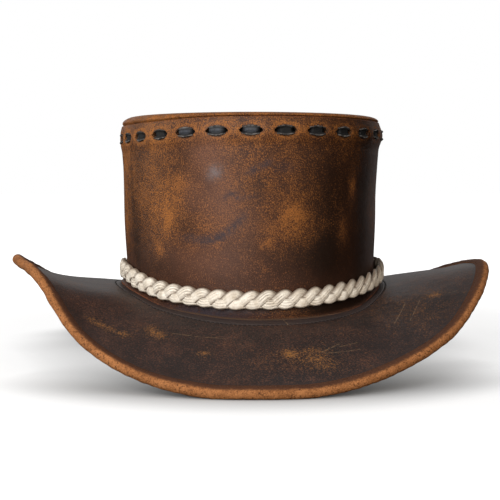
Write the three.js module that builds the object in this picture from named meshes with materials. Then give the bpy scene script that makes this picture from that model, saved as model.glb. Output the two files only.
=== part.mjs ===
// A leather bush hat: a tall laced crown, a brim rolled up at both sides, and a plaited band.
// Millimetres, +Z up. The hat rests on the floor on the front and back of its brim at z = 0.
// The crown's axis is the Z axis. The hat's front is at -Y, and +X is on the right of someone facing it.

import * as THREE from 'three';

// Clearance that touching pieces keep
const GAP = 0.3;

// Crown: the oval at its foot, its walls and its heights above the floor
const CROWN_WIDTH = 172;
const CROWN_LENGTH = 198;
const PANEL_WALL = 2.4;
const PANEL_EDGE_WALL = 1.3;
const PANEL_EDGE_HEIGHT = 159.5;
const PANEL_EDGE_WAVE = 3.4;
const CROWN_FLARE = 4.9;
const FOOT_FLANGE = 4.5;
const FOOT_FLANGE_EDGE = 1.6;

// Tip of the crown: its own wall, its shoulder's rise above the side panel, its dome and turned-down flange
const TIP_WALL = 2;
const TIP_SHOULDER_RISE = 6.1;
const TIP_SHOULDER_RUN = 5.4;
const TIP_DOME_RISE = 1.6;
const TIP_FLANGE_DEPTH = 17;

// Lace: a flat strip in a running stitch through the side panel and the tip's flange, which it presses in.
// The front's middle stitch stands off the middle of the front by its start angle. Where the lace turns into
// a slit, its middle stands off the slit's end by a share of its thickness.
const STITCH_COUNT = 28;
const STITCH_SHARE = 0.68;
const LACE_WIDTH = 6.7;
const LACE_THICKNESS = 0.9;
const LACE_LIFT = 0.25;
const LACE_PRESS = 0.5;
const LACE_DROP = 8.8;
const SLIT_LENGTH = 4.2;
const LACE_START_DEGREES = -5.3;
const LACE_TURN_SHARE = 0.6;

// Brim: its reach beyond the crown's foot to the middle of the bound edge, and how it lifts
const BRIM_REACH_SIDE = 75;
const BRIM_REACH_FRONT = 76;
const BRIM_THICKNESS = 2.8;
const FOOT_HEIGHT = 34;
const FOOT_LIFT = 15.5;
const RIM_LIFT = 67;

// Binding: a strip folded over the brim's edge. Where the hat rests, the edge's lowest dip is levelled and
// the fold is pressed flat on the floor.
const BINDING_THICKNESS = 1.1;
const BINDING_ARM = 4.2;
const FLOOR_PRESS = 0.12;
const REST_DIP = 0.75;

// Band: a plait of three strands round the foot of the crown
const BAND_HEIGHT = 13.4;
const BAND_THICKNESS = 6.4;
const BAND_SCALLOP = 1.8;
const BAND_FRONT_HEIGHT = 49;
const BAND_LIFT = 14.8;
const PLAIT_PERIODS = 18;
const STRANDS = 3;

// One row for each section of the hat, every 15 degrees, anticlockwise from the right-hand side (+X).
// rim: height of the brim's edge above its front, as a share of RIM_LIFT
// foot: height of the brim at the crown, as a share of FOOT_LIFT
// inner, outer: the brim's slope where it leaves the crown and where it reaches its edge
// edge: height of the side panel's top edge, as a share of PANEL_EDGE_WAVE
// band: height of the plaited band above its front, as a share of BAND_LIFT
const SECTIONS = [
  { rim: 0.90, foot: 0.93, inner: 0.20, outer: 0.20, edge: 0.70, band: 0.74 },
  { rim: 0.80, foot: 0.88, inner: 0.15, outer: 0.20, edge: 0.72, band: 0.69 },
  { rim: 0.63, foot: 0.67, inner: 0.05, outer: 0.10, edge: 0.76, band: 0.52 },
  { rim: 0.39, foot: 0.42, inner: -0.10, outer: -0.05, edge: 0.82, band: 0.35 },
  { rim: 0.18, foot: 0.19, inner: -0.22, outer: -0.25, edge: 0.88, band: 0.20 },
  { rim: 0.037, foot: 0.05, inner: -0.30, outer: -0.42, edge: 0.90, band: 0.08 },
  { rim: 0.00, foot: 0.00, inner: -0.30, outer: -0.45, edge: 0.90, band: 0.04 },
  { rim: 0.03, foot: 0.05, inner: -0.30, outer: -0.42, edge: 0.85, band: 0.08 },
  { rim: 0.15, foot: 0.19, inner: -0.22, outer: -0.25, edge: 0.70, band: 0.20 },
  { rim: 0.39, foot: 0.42, inner: -0.10, outer: 0.00, edge: 0.45, band: 0.40 },
  { rim: 0.63, foot: 0.71, inner: 0.02, outer: 0.35, edge: 0.20, band: 0.65 },
  { rim: 0.84, foot: 0.92, inner: 0.06, outer: 0.55, edge: 0.05, band: 0.88 },
  { rim: 0.97, foot: 1.00, inner: 0.08, outer: 0.62, edge: 0.00, band: 1.00 },
  { rim: 1.00, foot: 0.95, inner: 0.06, outer: 0.60, edge: 0.02, band: 0.88 },
  { rim: 0.89, foot: 0.76, inner: 0.02, outer: 0.45, edge: 0.15, band: 0.54 },
  { rim: 0.42, foot: 0.48, inner: -0.12, outer: 0.00, edge: 0.40, band: 0.24 },
  { rim: 0.145, foot: 0.23, inner: -0.25, outer: -0.25, edge: 0.75, band: 0.10 },
  { rim: 0.022, foot: 0.06, inner: -0.30, outer: -0.42, edge: 0.95, band: 0.00 },
  { rim: 0.00, foot: 0.00, inner: -0.30, outer: -0.45, edge: 1.00, band: 0.00 },
  { rim: 0.055, foot: 0.02, inner: -0.30, outer: -0.42, edge: 1.00, band: 0.04 },
  { rim: 0.213, foot: 0.12, inner: -0.22, outer: -0.25, edge: 0.90, band: 0.16 },
  { rim: 0.425, foot: 0.33, inner: -0.10, outer: -0.05, edge: 0.80, band: 0.33 },
  { rim: 0.716, foot: 0.64, inner: 0.05, outer: 0.10, edge: 0.75, band: 0.52 },
  { rim: 0.907, foot: 0.85, inner: 0.15, outer: 0.20, edge: 0.70, band: 0.66 },
];

// Rows of the side panel's wall, from its foot up.
// below: how far the row lies below the top edge, as a share of the depth of the tip's flange
// out: how far it stands outside the foot's oval, as a share of CROWN_FLARE
const PANEL_ROWS = [
  { below: 1.8, out: 0.45 },
  { below: 1, out: 0.73 },
];
const PANEL_EDGE_OUT = 0.57;

// Rows of the tip's rounded shoulder, from the panel's edge inwards.
// up: share of the rise from the panel's edge to the shoulder's height; in: share of the shoulder's run
const SHOULDER_ROWS = [
  { up: 0.5, in: 0.08 },
  { up: 0.86, in: 0.4 },
  { up: 1, in: 1 },
];

// Runs across the bare brim, as shares of its width between the crown's flange and the binding
const BRIM_ROWS = [0, 0.33, 0.67, 1];

// Corners of the binding's fold, as turns about the middle of the brim's edge
const FOLD_TURNS = [-0.25, -0.11, 0.11, 0.25];
const FOLD_LINING_TURNS = [0.25, 0, -0.25];

// Corners of the cove at the crown's foot, as turns from level to upright
const COVE_TURNS = [0.25, 0.125, 0];

// Sides of the plait's section, as turns about its middle from the outside, going up
const BAND_SIDES = [0.07, 0.21, 0.36, 0.64, 0.79, 0.93];

const BRIM_COLUMNS = 60;
const BAND_COLUMNS_PER_LOBE = 3;
const TURN = 2 * Math.PI;
const FRONT = 0.75 * TURN;

// Smooth periodic value of one column of SECTIONS at an angle (a Catmull-Rom curve through the rows)
function sectionValue(column, angle) {
  const count = SECTIONS.length;
  const place = ((((angle / TURN) % 1) + 1) % 1) * count;
  const row = Math.floor(place);
  const t = place - row;
  const at = (step) => SECTIONS[(row + step + count) % count][column];
  const [before, start, end, after] = [at(-1), at(0), at(1), at(2)];
  const slopeStart = (end - before) / 2;
  const slopeEnd = (after - start) / 2;
  const rise = end - start;
  const bend = slopeStart + slopeEnd - 2 * rise;
  return start + t * (slopeStart + t * (3 * rise - 2 * slopeStart - slopeEnd + t * bend));
}

// Point at an angle of the oval that stands "out" beyond the crown's foot
function ovalPoint(angle, out, z) {
  const x = (CROWN_WIDTH / 2 + out) * Math.cos(angle);
  const y = (CROWN_LENGTH / 2 + out) * Math.sin(angle);
  return new THREE.Vector3(x, y, z);
}

// Brim: horizontal reach from the foot to the middle of the bound edge, along the section at an angle
function brimReach(angle) {
  return Math.hypot(BRIM_REACH_SIDE * Math.cos(angle), BRIM_REACH_FRONT * Math.sin(angle));
}

// Middle of the binding's fold above the floor at the front
const BINDING_HALF = BRIM_THICKNESS / 2 + GAP + BINDING_THICKNESS;
const RIM_FRONT_HEIGHT = lowestFoldRise() - FLOOR_PRESS;

// Drop from the middle of the fold to its lowest side point, where the brim slopes most at the front
function lowestFoldRise() {
  const slope = sectionValue('outer', FRONT);
  return BINDING_HALF * Math.cos(Math.atan(slope));
}

// Middle surface of the brim at an angle and a share of its reach: height and slope.
// A cubic between the foot and the rim with the slopes of the table; straight inside the foot.
function brimMiddle(angle, share) {
  const reach = brimReach(angle);
  const foot = FOOT_HEIGHT + FOOT_LIFT * sectionValue('foot', angle);
  const rim = RIM_FRONT_HEIGHT + Math.max(RIM_LIFT * sectionValue('rim', angle) - REST_DIP, 0);
  const inner = sectionValue('inner', angle);
  const outer = sectionValue('outer', angle);
  if (share < 0) {
    return { z: foot + inner * reach * share, slope: inner };
  }
  const curve = new THREE.CubicBezierCurve(
    new THREE.Vector2(0, foot),
    new THREE.Vector2(reach / 3, foot + inner * reach / 3),
    new THREE.Vector2(2 * reach / 3, rim - outer * reach / 3),
    new THREE.Vector2(reach, rim),
  );
  const tangent = curve.getTangent(share);
  return { z: curve.getPoint(share).y, slope: tangent.y / tangent.x };
}

// Point of the brim at an angle and share, raised along its own normal
function brimPoint(angle, share, raise, along = 0) {
  const { z, slope } = brimMiddle(angle, share);
  const length = Math.hypot(1, slope);
  const outX = BRIM_REACH_SIDE * share + (along - slope * raise) / length;
  const outY = BRIM_REACH_FRONT * share + (along - slope * raise) / length;
  const x = (CROWN_WIDTH / 2 + outX) * Math.cos(angle);
  const y = (CROWN_LENGTH / 2 + outY) * Math.sin(angle);
  return new THREE.Vector3(x, y, z + (slope * along + raise) / length);
}

// Height of the brim's upper face at a run beyond the crown's foot
function brimTopHeight(angle, run) {
  const { z, slope } = brimMiddle(angle, run / brimReach(angle));
  return z + BRIM_THICKNESS / 2 * Math.hypot(1, slope);
}

// The tip's shoulder runs level, above the foot of the wave in the panel's edge
const TIP_SHOULDER_HEIGHT = PANEL_EDGE_HEIGHT + TIP_SHOULDER_RISE;

function panelEdgeHeight(angle) {
  return PANEL_EDGE_HEIGHT + PANEL_EDGE_WAVE * sectionValue('edge', angle);
}

// Solid swept round the hat. Each column is the outline of one section; the columns follow each other
// anticlockwise, and an outline runs clockwise seen from the column before, so that faces point out.
// An open outline starts and ends on the axis, where its columns share one point.
// "pierced" names the cells that are cut through: outline step "outer" opens onto outline step "inner".
function sweptSolid(columns, { open = false, pierced = null } = {}) {
  const count = columns.length;
  const size = columns[0].length;
  const positions = columns.flat().flatMap((point) => [point.x, point.y, point.z]);
  const corner = (column, step) => {
    const onAxis = open && (step === 0 || step === size - 1);
    return (onAxis ? 0 : column % count) * size + (step % size);
  };
  const cell = (column, step) => [
    corner(column, step),
    corner(column + 1, step),
    corner(column + 1, step + 1),
    corner(column, step + 1),
  ];
  const index = [];
  const quad = (a, b, c, d) => {
    if (a !== b && b !== c && c !== a) index.push(a, b, c);
    if (a !== c && c !== d && d !== a) index.push(a, c, d);
  };
  for (let column = 0; column < count; column += 1) {
    const cut = pierced !== null && pierced.isOpen(column);
    for (let step = 0; step < (open ? size - 1 : size); step += 1) {
      if (cut && (step === pierced.outer || step === pierced.inner)) continue;
      quad(...cell(column, step));
    }
    if (cut) {
      const near = cell(column, pierced.outer);
      const [c, d, a, b] = cell(column, pierced.inner);
      const far = [b, a, d, c];
      for (let side = 0; side < near.length; side += 1) {
        const next = (side + 1) % near.length;
        quad(near[side], near[next], far[next], far[side]);
      }
    }
  }
  const geometry = new THREE.BufferGeometry();
  geometry.setAttribute('position', new THREE.Float32BufferAttribute(positions, 3));
  geometry.setIndex(index);
  return dropUnused(geometry);
}

// Removes the spare axis points and gives the geometry its normals
function dropUnused(geometry) {
  const index = Array.from(geometry.index.array);
  const used = [...new Set(index)].sort((first, second) => first - second);
  const place = new Map(used.map((old, now) => [old, now]));
  const position = geometry.attributes.position;
  const kept = used.flatMap((old) => [position.getX(old), position.getY(old), position.getZ(old)]);
  const clean = new THREE.BufferGeometry();
  clean.setAttribute('position', new THREE.Float32BufferAttribute(kept, 3));
  clean.setIndex(index.map((old) => place.get(old)));
  clean.computeVertexNormals();
  return clean;
}

// Angles at equal lengths round the oval at the lace, from the middle of the front stitch
const LACE_START = FRONT + TURN * LACE_START_DEGREES / 360;
const ARC_STEPS = 1440;
const arcLengths = [0];
for (let step = 1; step <= ARC_STEPS; step += 1) {
  const from = ovalPoint(LACE_START + TURN * (step - 1) / ARC_STEPS, CROWN_FLARE, 0);
  const to = ovalPoint(LACE_START + TURN * step / ARC_STEPS, CROWN_FLARE, 0);
  arcLengths.push(arcLengths[step - 1] + from.distanceTo(to));
}
const LACE_ROUND = arcLengths[ARC_STEPS];
const STITCH_PITCH = LACE_ROUND / STITCH_COUNT;

function angleAtLength(length) {
  const wrapped = ((length % LACE_ROUND) + LACE_ROUND) % LACE_ROUND;
  let step = arcLengths.findIndex((value) => value > wrapped);
  if (step < 1) step = ARC_STEPS;
  const start = arcLengths[step - 1];
  const share = (wrapped - start) / (arcLengths[step] - start);
  return LACE_START + TURN * (step - 1 + share) / ARC_STEPS;
}

// Columns of the crown: the two ends of the two slits of each stitch
const SLIT_OUTER_END = STITCH_SHARE * STITCH_PITCH / 2;
const SLIT_INNER_END = SLIT_OUTER_END - SLIT_LENGTH;
const STITCH_COLUMNS = [
  { offset: -SLIT_OUTER_END, press: 0, slitFollows: true },
  { offset: -SLIT_INNER_END, press: LACE_PRESS, slitFollows: false },
  { offset: SLIT_INNER_END, press: LACE_PRESS, slitFollows: true },
  { offset: SLIT_OUTER_END, press: 0, slitFollows: false },
];
const crownColumns = [];
for (let stitch = 0; stitch < STITCH_COUNT; stitch += 1) {
  for (const { offset } of STITCH_COLUMNS) {
    crownColumns.push(angleAtLength(stitch * STITCH_PITCH + offset));
  }
}
const stitchColumn = (column) => STITCH_COLUMNS[column % STITCH_COLUMNS.length];
const isSlit = (column) => stitchColumn(column).slitFollows;
const pressAt = (column) => stitchColumn(column).press;
const SLIT_HALF = LACE_WIDTH / 2 + GAP;

// Outside and inside corner of the panel's top edge
const EDGE_WALLS = [0, PANEL_EDGE_WALL];

// Side panel: wall with a cove at its foot that turns out into a flange lying on the brim
function panelOutline(angle, column) {
  const edge = panelEdgeHeight(angle);
  const slope = sectionValue('inner', angle);
  const flangeTop = brimTopHeight(angle, FOOT_FLANGE) + GAP + FOOT_FLANGE_EDGE;
  const cove = COVE_TURNS.map((turns) => {
    const out = FOOT_FLANGE * (1 - Math.cos(turns * TURN));
    return ovalPoint(angle, out, flangeTop + FOOT_FLANGE * (1 - Math.sin(turns * TURN)) + slope * out);
  });
  const laceLow = edge - LACE_DROP - SLIT_HALF;
  const laceHigh = edge - LACE_DROP + SLIT_HALF;
  const wall = (out, z, thickness) => ovalPoint(angle, out - thickness, z);
  const rows = PANEL_ROWS.map((row) => ({
    z: edge - row.below * TIP_FLANGE_DEPTH,
    out: row.out * CROWN_FLARE,
  }));
  const laceOut = CROWN_FLARE - pressAt(column);
  rows.push({ z: laceLow, out: laceOut }, { z: laceHigh, out: laceOut });
  const outer = rows.map(({ z, out }) => wall(out, z, 0));
  const inner = rows.map(({ z, out }) => wall(out, z, PANEL_WALL)).reverse();
  const edgeOut = PANEL_EDGE_OUT * CROWN_FLARE;
  return [
    ovalPoint(angle, FOOT_FLANGE, brimTopHeight(angle, FOOT_FLANGE) + GAP),
    ...cove,
    ...outer,
    ...EDGE_WALLS.map((thickness) => wall(edgeOut, edge, thickness)),
    ...inner,
    ovalPoint(angle, -PANEL_WALL, brimTopHeight(angle, -PANEL_WALL) + GAP),
  ];
}
// Steps of the panel's outline where the slits open: past the flange's edge, the cove and the lower rows,
// and again past both ends of the lace's height and the top edge
const PANEL_OUTER_SLIT = 1 + COVE_TURNS.length + PANEL_ROWS.length;
const PANEL_INNER_SLIT = PANEL_OUTER_SLIT + 2 + EDGE_WALLS.length;

// Tip: dome, rounded shoulder and a flange inside the panel; the outline runs from the underside's middle
function tipOutline(angle, column) {
  const edge = panelEdgeHeight(angle);
  const laceLow = edge - LACE_DROP - SLIT_HALF;
  const laceHigh = edge - LACE_DROP + SLIT_HALF;
  const laceOut = CROWN_FLARE - pressAt(column) - PANEL_WALL - GAP;
  const hemOut = PANEL_ROWS[1].out * CROWN_FLARE - PANEL_WALL - GAP;
  const edgeOut = PANEL_EDGE_OUT * CROWN_FLARE - PANEL_EDGE_WALL - GAP;
  const hem = edge - TIP_FLANGE_DEPTH;
  const rise = TIP_SHOULDER_HEIGHT - edge;
  const crest = TIP_SHOULDER_HEIGHT + TIP_DOME_RISE;
  const shoulder = SHOULDER_ROWS.map((row) => (
    ovalPoint(angle, edgeOut - row.in * TIP_SHOULDER_RUN, edge + row.up * rise)
  ));
  const innerShoulder = ovalPoint(angle, edgeOut - TIP_SHOULDER_RUN, TIP_SHOULDER_HEIGHT - TIP_WALL);
  const middle = (height) => new THREE.Vector3(0, 0, height);
  return [
    middle(crest - TIP_WALL),
    innerShoulder,
    ovalPoint(angle, laceOut - TIP_WALL, laceHigh),
    ovalPoint(angle, laceOut - TIP_WALL, laceLow),
    ovalPoint(angle, hemOut - TIP_WALL, hem),
    ovalPoint(angle, hemOut, hem),
    ovalPoint(angle, laceOut, laceLow),
    ovalPoint(angle, laceOut, laceHigh),
    ovalPoint(angle, edgeOut, edge),
    ...shoulder,
    middle(crest),
  ];
}
// Steps of the tip's outline where the slits open, inside and outside
const TIP_INNER_SLIT = 2;
const TIP_OUTER_SLIT = 6;

// Lace: outside over the panel, down through both slits, and inside behind the tip's flange
function laceColumns() {
  const halfLace = LACE_THICKNESS / 2;
  const outside = GAP + halfLace + LACE_LIFT - LACE_PRESS;
  const inside = -(PANEL_WALL + GAP + TIP_WALL + GAP + halfLace);
  const turnRoom = GAP + LACE_TURN_SHARE * LACE_THICKNESS;
  const fromOuter = SLIT_INNER_END + turnRoom;
  const fromInner = SLIT_OUTER_END - turnRoom;
  const path = [];
  for (let stitch = 0; stitch < STITCH_COUNT; stitch += 1) {
    const turns = [[-fromInner, inside], [-fromOuter, outside], [fromOuter, outside], [fromInner, inside]];
    for (const [offset, out] of turns) {
      const angle = angleAtLength(stitch * STITCH_PITCH + offset);
      path.push(ovalPoint(angle, CROWN_FLARE + out, panelEdgeHeight(angle) - LACE_DROP));
    }
  }
  return path.map((point, place) => {
    const before = path[(place + path.length - 1) % path.length];
    const after = path[(place + 1) % path.length];
    const arriving = flat(point.clone().sub(before)).normalize();
    const leaving = flat(after.clone().sub(point)).normalize();
    const along = arriving.clone().add(leaving).normalize();
    const mitre = halfLace / along.dot(leaving);
    const side = new THREE.Vector3(along.y, -along.x, 0).multiplyScalar(mitre);
    const up = new THREE.Vector3(0, 0, LACE_WIDTH / 2);
    return [
      point.clone().add(side).sub(up),
      point.clone().add(side).add(up),
      point.clone().sub(side).add(up),
      point.clone().sub(side).sub(up),
    ];
  });
}

function flat(vector) {
  return vector.setZ(0);
}

// Brim: a sheet from inside the crown's foot to the middle of the bound edge
function brimOutline(angle) {
  const reach = brimReach(angle);
  const start = FOOT_FLANGE / reach;
  const end = 1 - BINDING_ARM / reach;
  const shares = [-PANEL_WALL / reach, ...BRIM_ROWS.map((row) => start + row * (end - start)), 1];
  const lower = shares.map((share) => brimPoint(angle, share, -BRIM_THICKNESS / 2));
  const upper = shares.map((share) => brimPoint(angle, share, BRIM_THICKNESS / 2)).reverse();
  return [...lower, ...upper];
}

// Binding: a strip folded over the edge, with its lowest stretches pressed flat on the floor
function bindingOutline(angle) {
  const reach = brimReach(angle);
  const fold = (turns, radius) => {
    const along = radius * Math.cos(turns * TURN);
    const raise = radius * Math.sin(turns * TURN);
    return brimPoint(angle, 1, raise, along);
  };
  const arm = (raise) => brimPoint(angle, 1 - BINDING_ARM / reach, raise);
  const inner = BRIM_THICKNESS / 2 + GAP;
  const outline = [
    arm(-BINDING_HALF),
    ...FOLD_TURNS.map((turns) => fold(turns, BINDING_HALF)),
    arm(BINDING_HALF),
    arm(inner),
    ...FOLD_LINING_TURNS.map((turns) => fold(turns, inner)),
    arm(-inner),
  ];
  return outline.map((point) => point.setZ(Math.max(point.z, 0)));
}

// Band: a flattened ring whose top and bottom edges swell and sink with the strands of the plait
function bandOutline(angle, lobe) {
  const middle = BAND_FRONT_HEIGHT + BAND_LIFT * sectionValue('band', angle);
  const foot = FOOT_HEIGHT + FOOT_LIFT * sectionValue('foot', angle);
  const [lowest] = PANEL_ROWS;
  const wallShare = (middle - foot) / (panelEdgeHeight(angle) - lowest.below * TIP_FLANGE_DEPTH - foot);
  const wallOut = wallShare * lowest.out * CROWN_FLARE;
  const out = wallOut + GAP + BAND_THICKNESS / 2;
  const dipTop = BAND_SCALLOP * Math.sin(Math.PI * lobe) ** 2;
  const dipBottom = BAND_SCALLOP * Math.cos(Math.PI * lobe) ** 2;
  return BAND_SIDES.map((turns) => {
    const up = Math.sin(turns * TURN);
    const half = BAND_HEIGHT / 2 - (up > 0 ? dipTop : dipBottom);
    return ovalPoint(angle, out + BAND_THICKNESS / 2 * Math.cos(turns * TURN), middle + half * up);
  });
}

function leather(color, roughness) {
  return new THREE.MeshStandardMaterial({ color, roughness, metalness: 0 });
}

function addPiece(group, name, geometry, material) {
  const mesh = new THREE.Mesh(geometry, material);
  mesh.name = name;
  group.add(mesh);
}

const everyAngle = (count) => Array.from({ length: count }, (_, column) => TURN * column / count);

const hat = new THREE.Group();

const panelSolid = sweptSolid(crownColumns.map(panelOutline), {
  pierced: { outer: PANEL_OUTER_SLIT, inner: PANEL_INNER_SLIT, isOpen: isSlit },
});
addPiece(hat, 'crown_side', panelSolid, leather(0x5b3620, 0.5));

const tipSolid = sweptSolid(crownColumns.map(tipOutline), {
  open: true,
  pierced: { outer: TIP_OUTER_SLIT, inner: TIP_INNER_SLIT, isOpen: isSlit },
});
addPiece(hat, 'crown_tip', tipSolid, leather(0x7a4c28, 0.55));

addPiece(hat, 'crown_lace', sweptSolid(laceColumns()), leather(0x1c1d22, 0.4));

const brimAngles = everyAngle(BRIM_COLUMNS);
addPiece(hat, 'brim', sweptSolid(brimAngles.map(brimOutline)), leather(0x3b2a23, 0.45));
addPiece(hat, 'brim_binding', sweptSolid(brimAngles.map(bindingOutline)), leather(0x8a5327, 0.7));

const lobes = PLAIT_PERIODS * STRANDS;
const bandColumns = everyAngle(lobes * BAND_COLUMNS_PER_LOBE).map((angle, column) => (
  bandOutline(angle, column / BAND_COLUMNS_PER_LOBE)
));
addPiece(hat, 'hat_band', sweptSolid(bandColumns), leather(0xded6c2, 0.85));

export default hat;
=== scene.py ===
# A worn leather bush hat: a tall crown laced to its flat tip, a brim rolled up at both sides and bound round
# its edge, and a cream plait round the foot of the crown. It rests on a pale floor on the front and back of
# its brim. Shapes are worked out in millimetres and put into meshes in metres; -Y is the hat's front.

import bpy
import numpy as np
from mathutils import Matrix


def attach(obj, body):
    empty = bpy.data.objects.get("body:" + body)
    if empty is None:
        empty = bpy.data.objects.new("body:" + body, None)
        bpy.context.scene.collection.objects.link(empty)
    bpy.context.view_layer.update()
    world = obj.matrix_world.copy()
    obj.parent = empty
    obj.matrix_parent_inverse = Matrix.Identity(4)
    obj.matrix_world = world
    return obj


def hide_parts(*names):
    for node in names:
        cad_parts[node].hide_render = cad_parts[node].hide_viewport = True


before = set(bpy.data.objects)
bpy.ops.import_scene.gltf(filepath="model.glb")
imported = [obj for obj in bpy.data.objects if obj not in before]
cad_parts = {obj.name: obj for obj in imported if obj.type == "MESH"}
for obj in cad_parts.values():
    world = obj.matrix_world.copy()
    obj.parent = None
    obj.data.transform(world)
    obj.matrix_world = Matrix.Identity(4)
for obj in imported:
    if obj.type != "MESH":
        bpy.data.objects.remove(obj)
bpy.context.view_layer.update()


# Brim
# One ring of stiff, thick brown leather, cut flat and rolled up at both sides while damp. It is sewn round
# the crown's foot through a pressed groove, and its dark dye is scuffed down to the orange hide in patches.

MM = 0.001
TURN = 2 * np.pi
GAP = 0.3
CROWN_WIDTH = 172
CROWN_LENGTH = 198
BRIM_REACH_SIDE = 75
BRIM_REACH_FRONT = 76
BRIM_THICKNESS = 2.8
PANEL_WALL = 2.4
FOOT_FLANGE = 4.5
FOOT_HEIGHT = 34
FOOT_LIFT = 15.5
RIM_LIFT = 67
REST_DIP = 0.75
FLOOR_PRESS = 0.12
BINDING_THICKNESS = 1.7
BINDING_ARM = 5.0
FRONT = 270

# One row for each section of the brim, every 15 degrees, anticlockwise from the right-hand side (+X).
# rim: height of the edge above its front, as a share of RIM_LIFT; foot: height at the crown, as a share of
# FOOT_LIFT; inner, outer: slope where it leaves the crown and where it reaches its edge
BRIM_COLUMNS = ("rim", "foot", "inner", "outer")
BRIM_ROWS = [
    (0.90, 0.93, 0.20, 0.20),
    (0.80, 0.88, 0.15, 0.20),
    (0.63, 0.67, 0.05, 0.10),
    (0.39, 0.42, -0.10, -0.05),
    (0.18, 0.19, -0.22, -0.25),
    (0.037, 0.05, -0.30, -0.42),
    (0.00, 0.00, -0.30, -0.45),
    (0.03, 0.05, -0.30, -0.42),
    (0.15, 0.19, -0.22, -0.25),
    (0.39, 0.42, -0.08, -0.10),
    (0.63, 0.70, 0.12, 0.10),
    (0.84, 0.90, 0.14, 0.40),
    (0.97, 1.00, 0.08, 0.62),
    (1.00, 0.95, 0.06, 0.60),
    (0.89, 0.76, 0.02, 0.45),
    (0.42, 0.48, -0.12, 0.00),
    (0.145, 0.32, -0.25, -0.25),
    (0.022, 0.18, -0.30, -0.42),
    (0.00, 0.13, -0.30, -0.45),
    (0.055, 0.14, -0.30, -0.42),
    (0.213, 0.20, -0.22, -0.25),
    (0.425, 0.33, -0.10, -0.05),
    (0.716, 0.64, 0.05, 0.10),
    (0.907, 0.85, 0.15, 0.20),
]
brim_sections = dict(zip(BRIM_COLUMNS, np.transpose(BRIM_ROWS)))


def round_the_hat(shares, angle):
    """Smooth value at an angle of one share for each section: a closed Catmull-Rom curve through the shares,
    a cubic whose slope at each share is half the step from the share before to the share after."""
    count = len(shares)
    place = angle / TURN % 1 * count
    row = np.floor(place).astype(int)
    t = place - row
    before, start, end, after = (np.asarray(shares)[(row + step) % count] for step in (-1, 0, 1, 2))
    slope_start = (end - before) / 2
    slope_end = (after - start) / 2
    rise = end - start
    bend = slope_start + slope_end - 2 * rise
    return start + t * (slope_start + t * (3 * rise - 2 * slope_start - slope_end + t * bend))


def oval_point(angle, out, z):
    """Points at an angle of the oval that stands "out" beyond the crown's foot: (half width + out) times the
    cosine, (half length + out) times the sine."""
    x = (CROWN_WIDTH / 2 + out) * np.cos(angle)
    y = (CROWN_LENGTH / 2 + out) * np.sin(angle)
    return np.stack(np.broadcast_arrays(x, y, z), axis=-1)


def brim_reach(angle):
    """Reach from the crown's foot to the middle of the bound edge: an ellipse of the side and front reach."""
    return np.hypot(BRIM_REACH_SIDE * np.cos(angle), BRIM_REACH_FRONT * np.sin(angle))


BINDING_HALF = BRIM_THICKNESS / 2 + GAP + BINDING_THICKNESS
front_slope = round_the_hat(brim_sections["outer"], np.radians(FRONT))
RIM_FRONT_HEIGHT = BINDING_HALF * np.cos(np.arctan(front_slope)) - FLOOR_PRESS


def brim_middle(angle, share):
    """Height and slope of the brim's middle surface at a share of its reach: a cubic from the foot's height
    to the rim's with the two slopes of the section, and a straight line inside the foot."""
    reach = brim_reach(angle)
    column = {name: round_the_hat(shares, angle) for name, shares in brim_sections.items()}
    foot = FOOT_HEIGHT + FOOT_LIFT * column["foot"]
    rim = RIM_FRONT_HEIGHT + np.maximum(RIM_LIFT * column["rim"] - REST_DIP, 0)
    near = foot + column["inner"] * reach / 3
    far = rim - column["outer"] * reach / 3
    t = np.maximum(share, 0)
    z = foot * (1 - t) ** 3 + 3 * t * (1 - t) ** 2 * near + 3 * t ** 2 * (1 - t) * far + t ** 3 * rim
    slope = 3 * ((1 - t) ** 2 * (near - foot) + 2 * t * (1 - t) * (far - near) + t ** 2 * (rim - far)) / reach
    return z + np.minimum(share, 0) * column["inner"] * reach, slope


def brim_point(angle, share, lift, along=0):
    """Points of the brim at an angle and share, lifted along its own normal and moved along its slope."""
    z, slope = brim_middle(angle, share)
    length = np.hypot(1, slope)
    shift = (along - slope * lift) / length
    x = (CROWN_WIDTH / 2 + BRIM_REACH_SIDE * share + shift) * np.cos(angle)
    y = (CROWN_LENGTH / 2 + BRIM_REACH_FRONT * share + shift) * np.sin(angle)
    return np.stack(np.broadcast_arrays(x, y, z + (slope * along + lift) / length), axis=-1)


def brim_top_height(angle, run):
    """Height of the brim's upper face at a run beyond the crown's foot."""
    z, slope = brim_middle(angle, run / brim_reach(angle))
    return z + BRIM_THICKNESS / 2 * np.hypot(1, slope)


def smooth_step(low, high, value):
    """0 below low, 1 above high, and the curve 3t^2 - 2t^3 between them."""
    t = np.clip((value - low) / (high - low), 0, 1)
    return t * t * (3 - 2 * t)


RIPPLE_WAVES = 14


def ripple(points, size, seed):
    """Soft uneven relief, mostly between -1 and 1: the sum of sine waves about as long as size, whose
    directions, lengths and phases are drawn from a seeded generator."""
    draw = np.random.default_rng(seed)
    directions = draw.normal(size=(RIPPLE_WAVES, 3))
    directions /= np.linalg.norm(directions, axis=1, keepdims=True)
    directions /= size * draw.uniform(0.7, 1.6, (RIPPLE_WAVES, 1))
    phases = draw.uniform(0, TURN, RIPPLE_WAVES)
    waves = np.sin(TURN * np.einsum("...i,wi->...w", points, directions) + phases)
    return waves.sum(axis=-1) / np.sqrt(2 * RIPPLE_WAVES)


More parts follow.
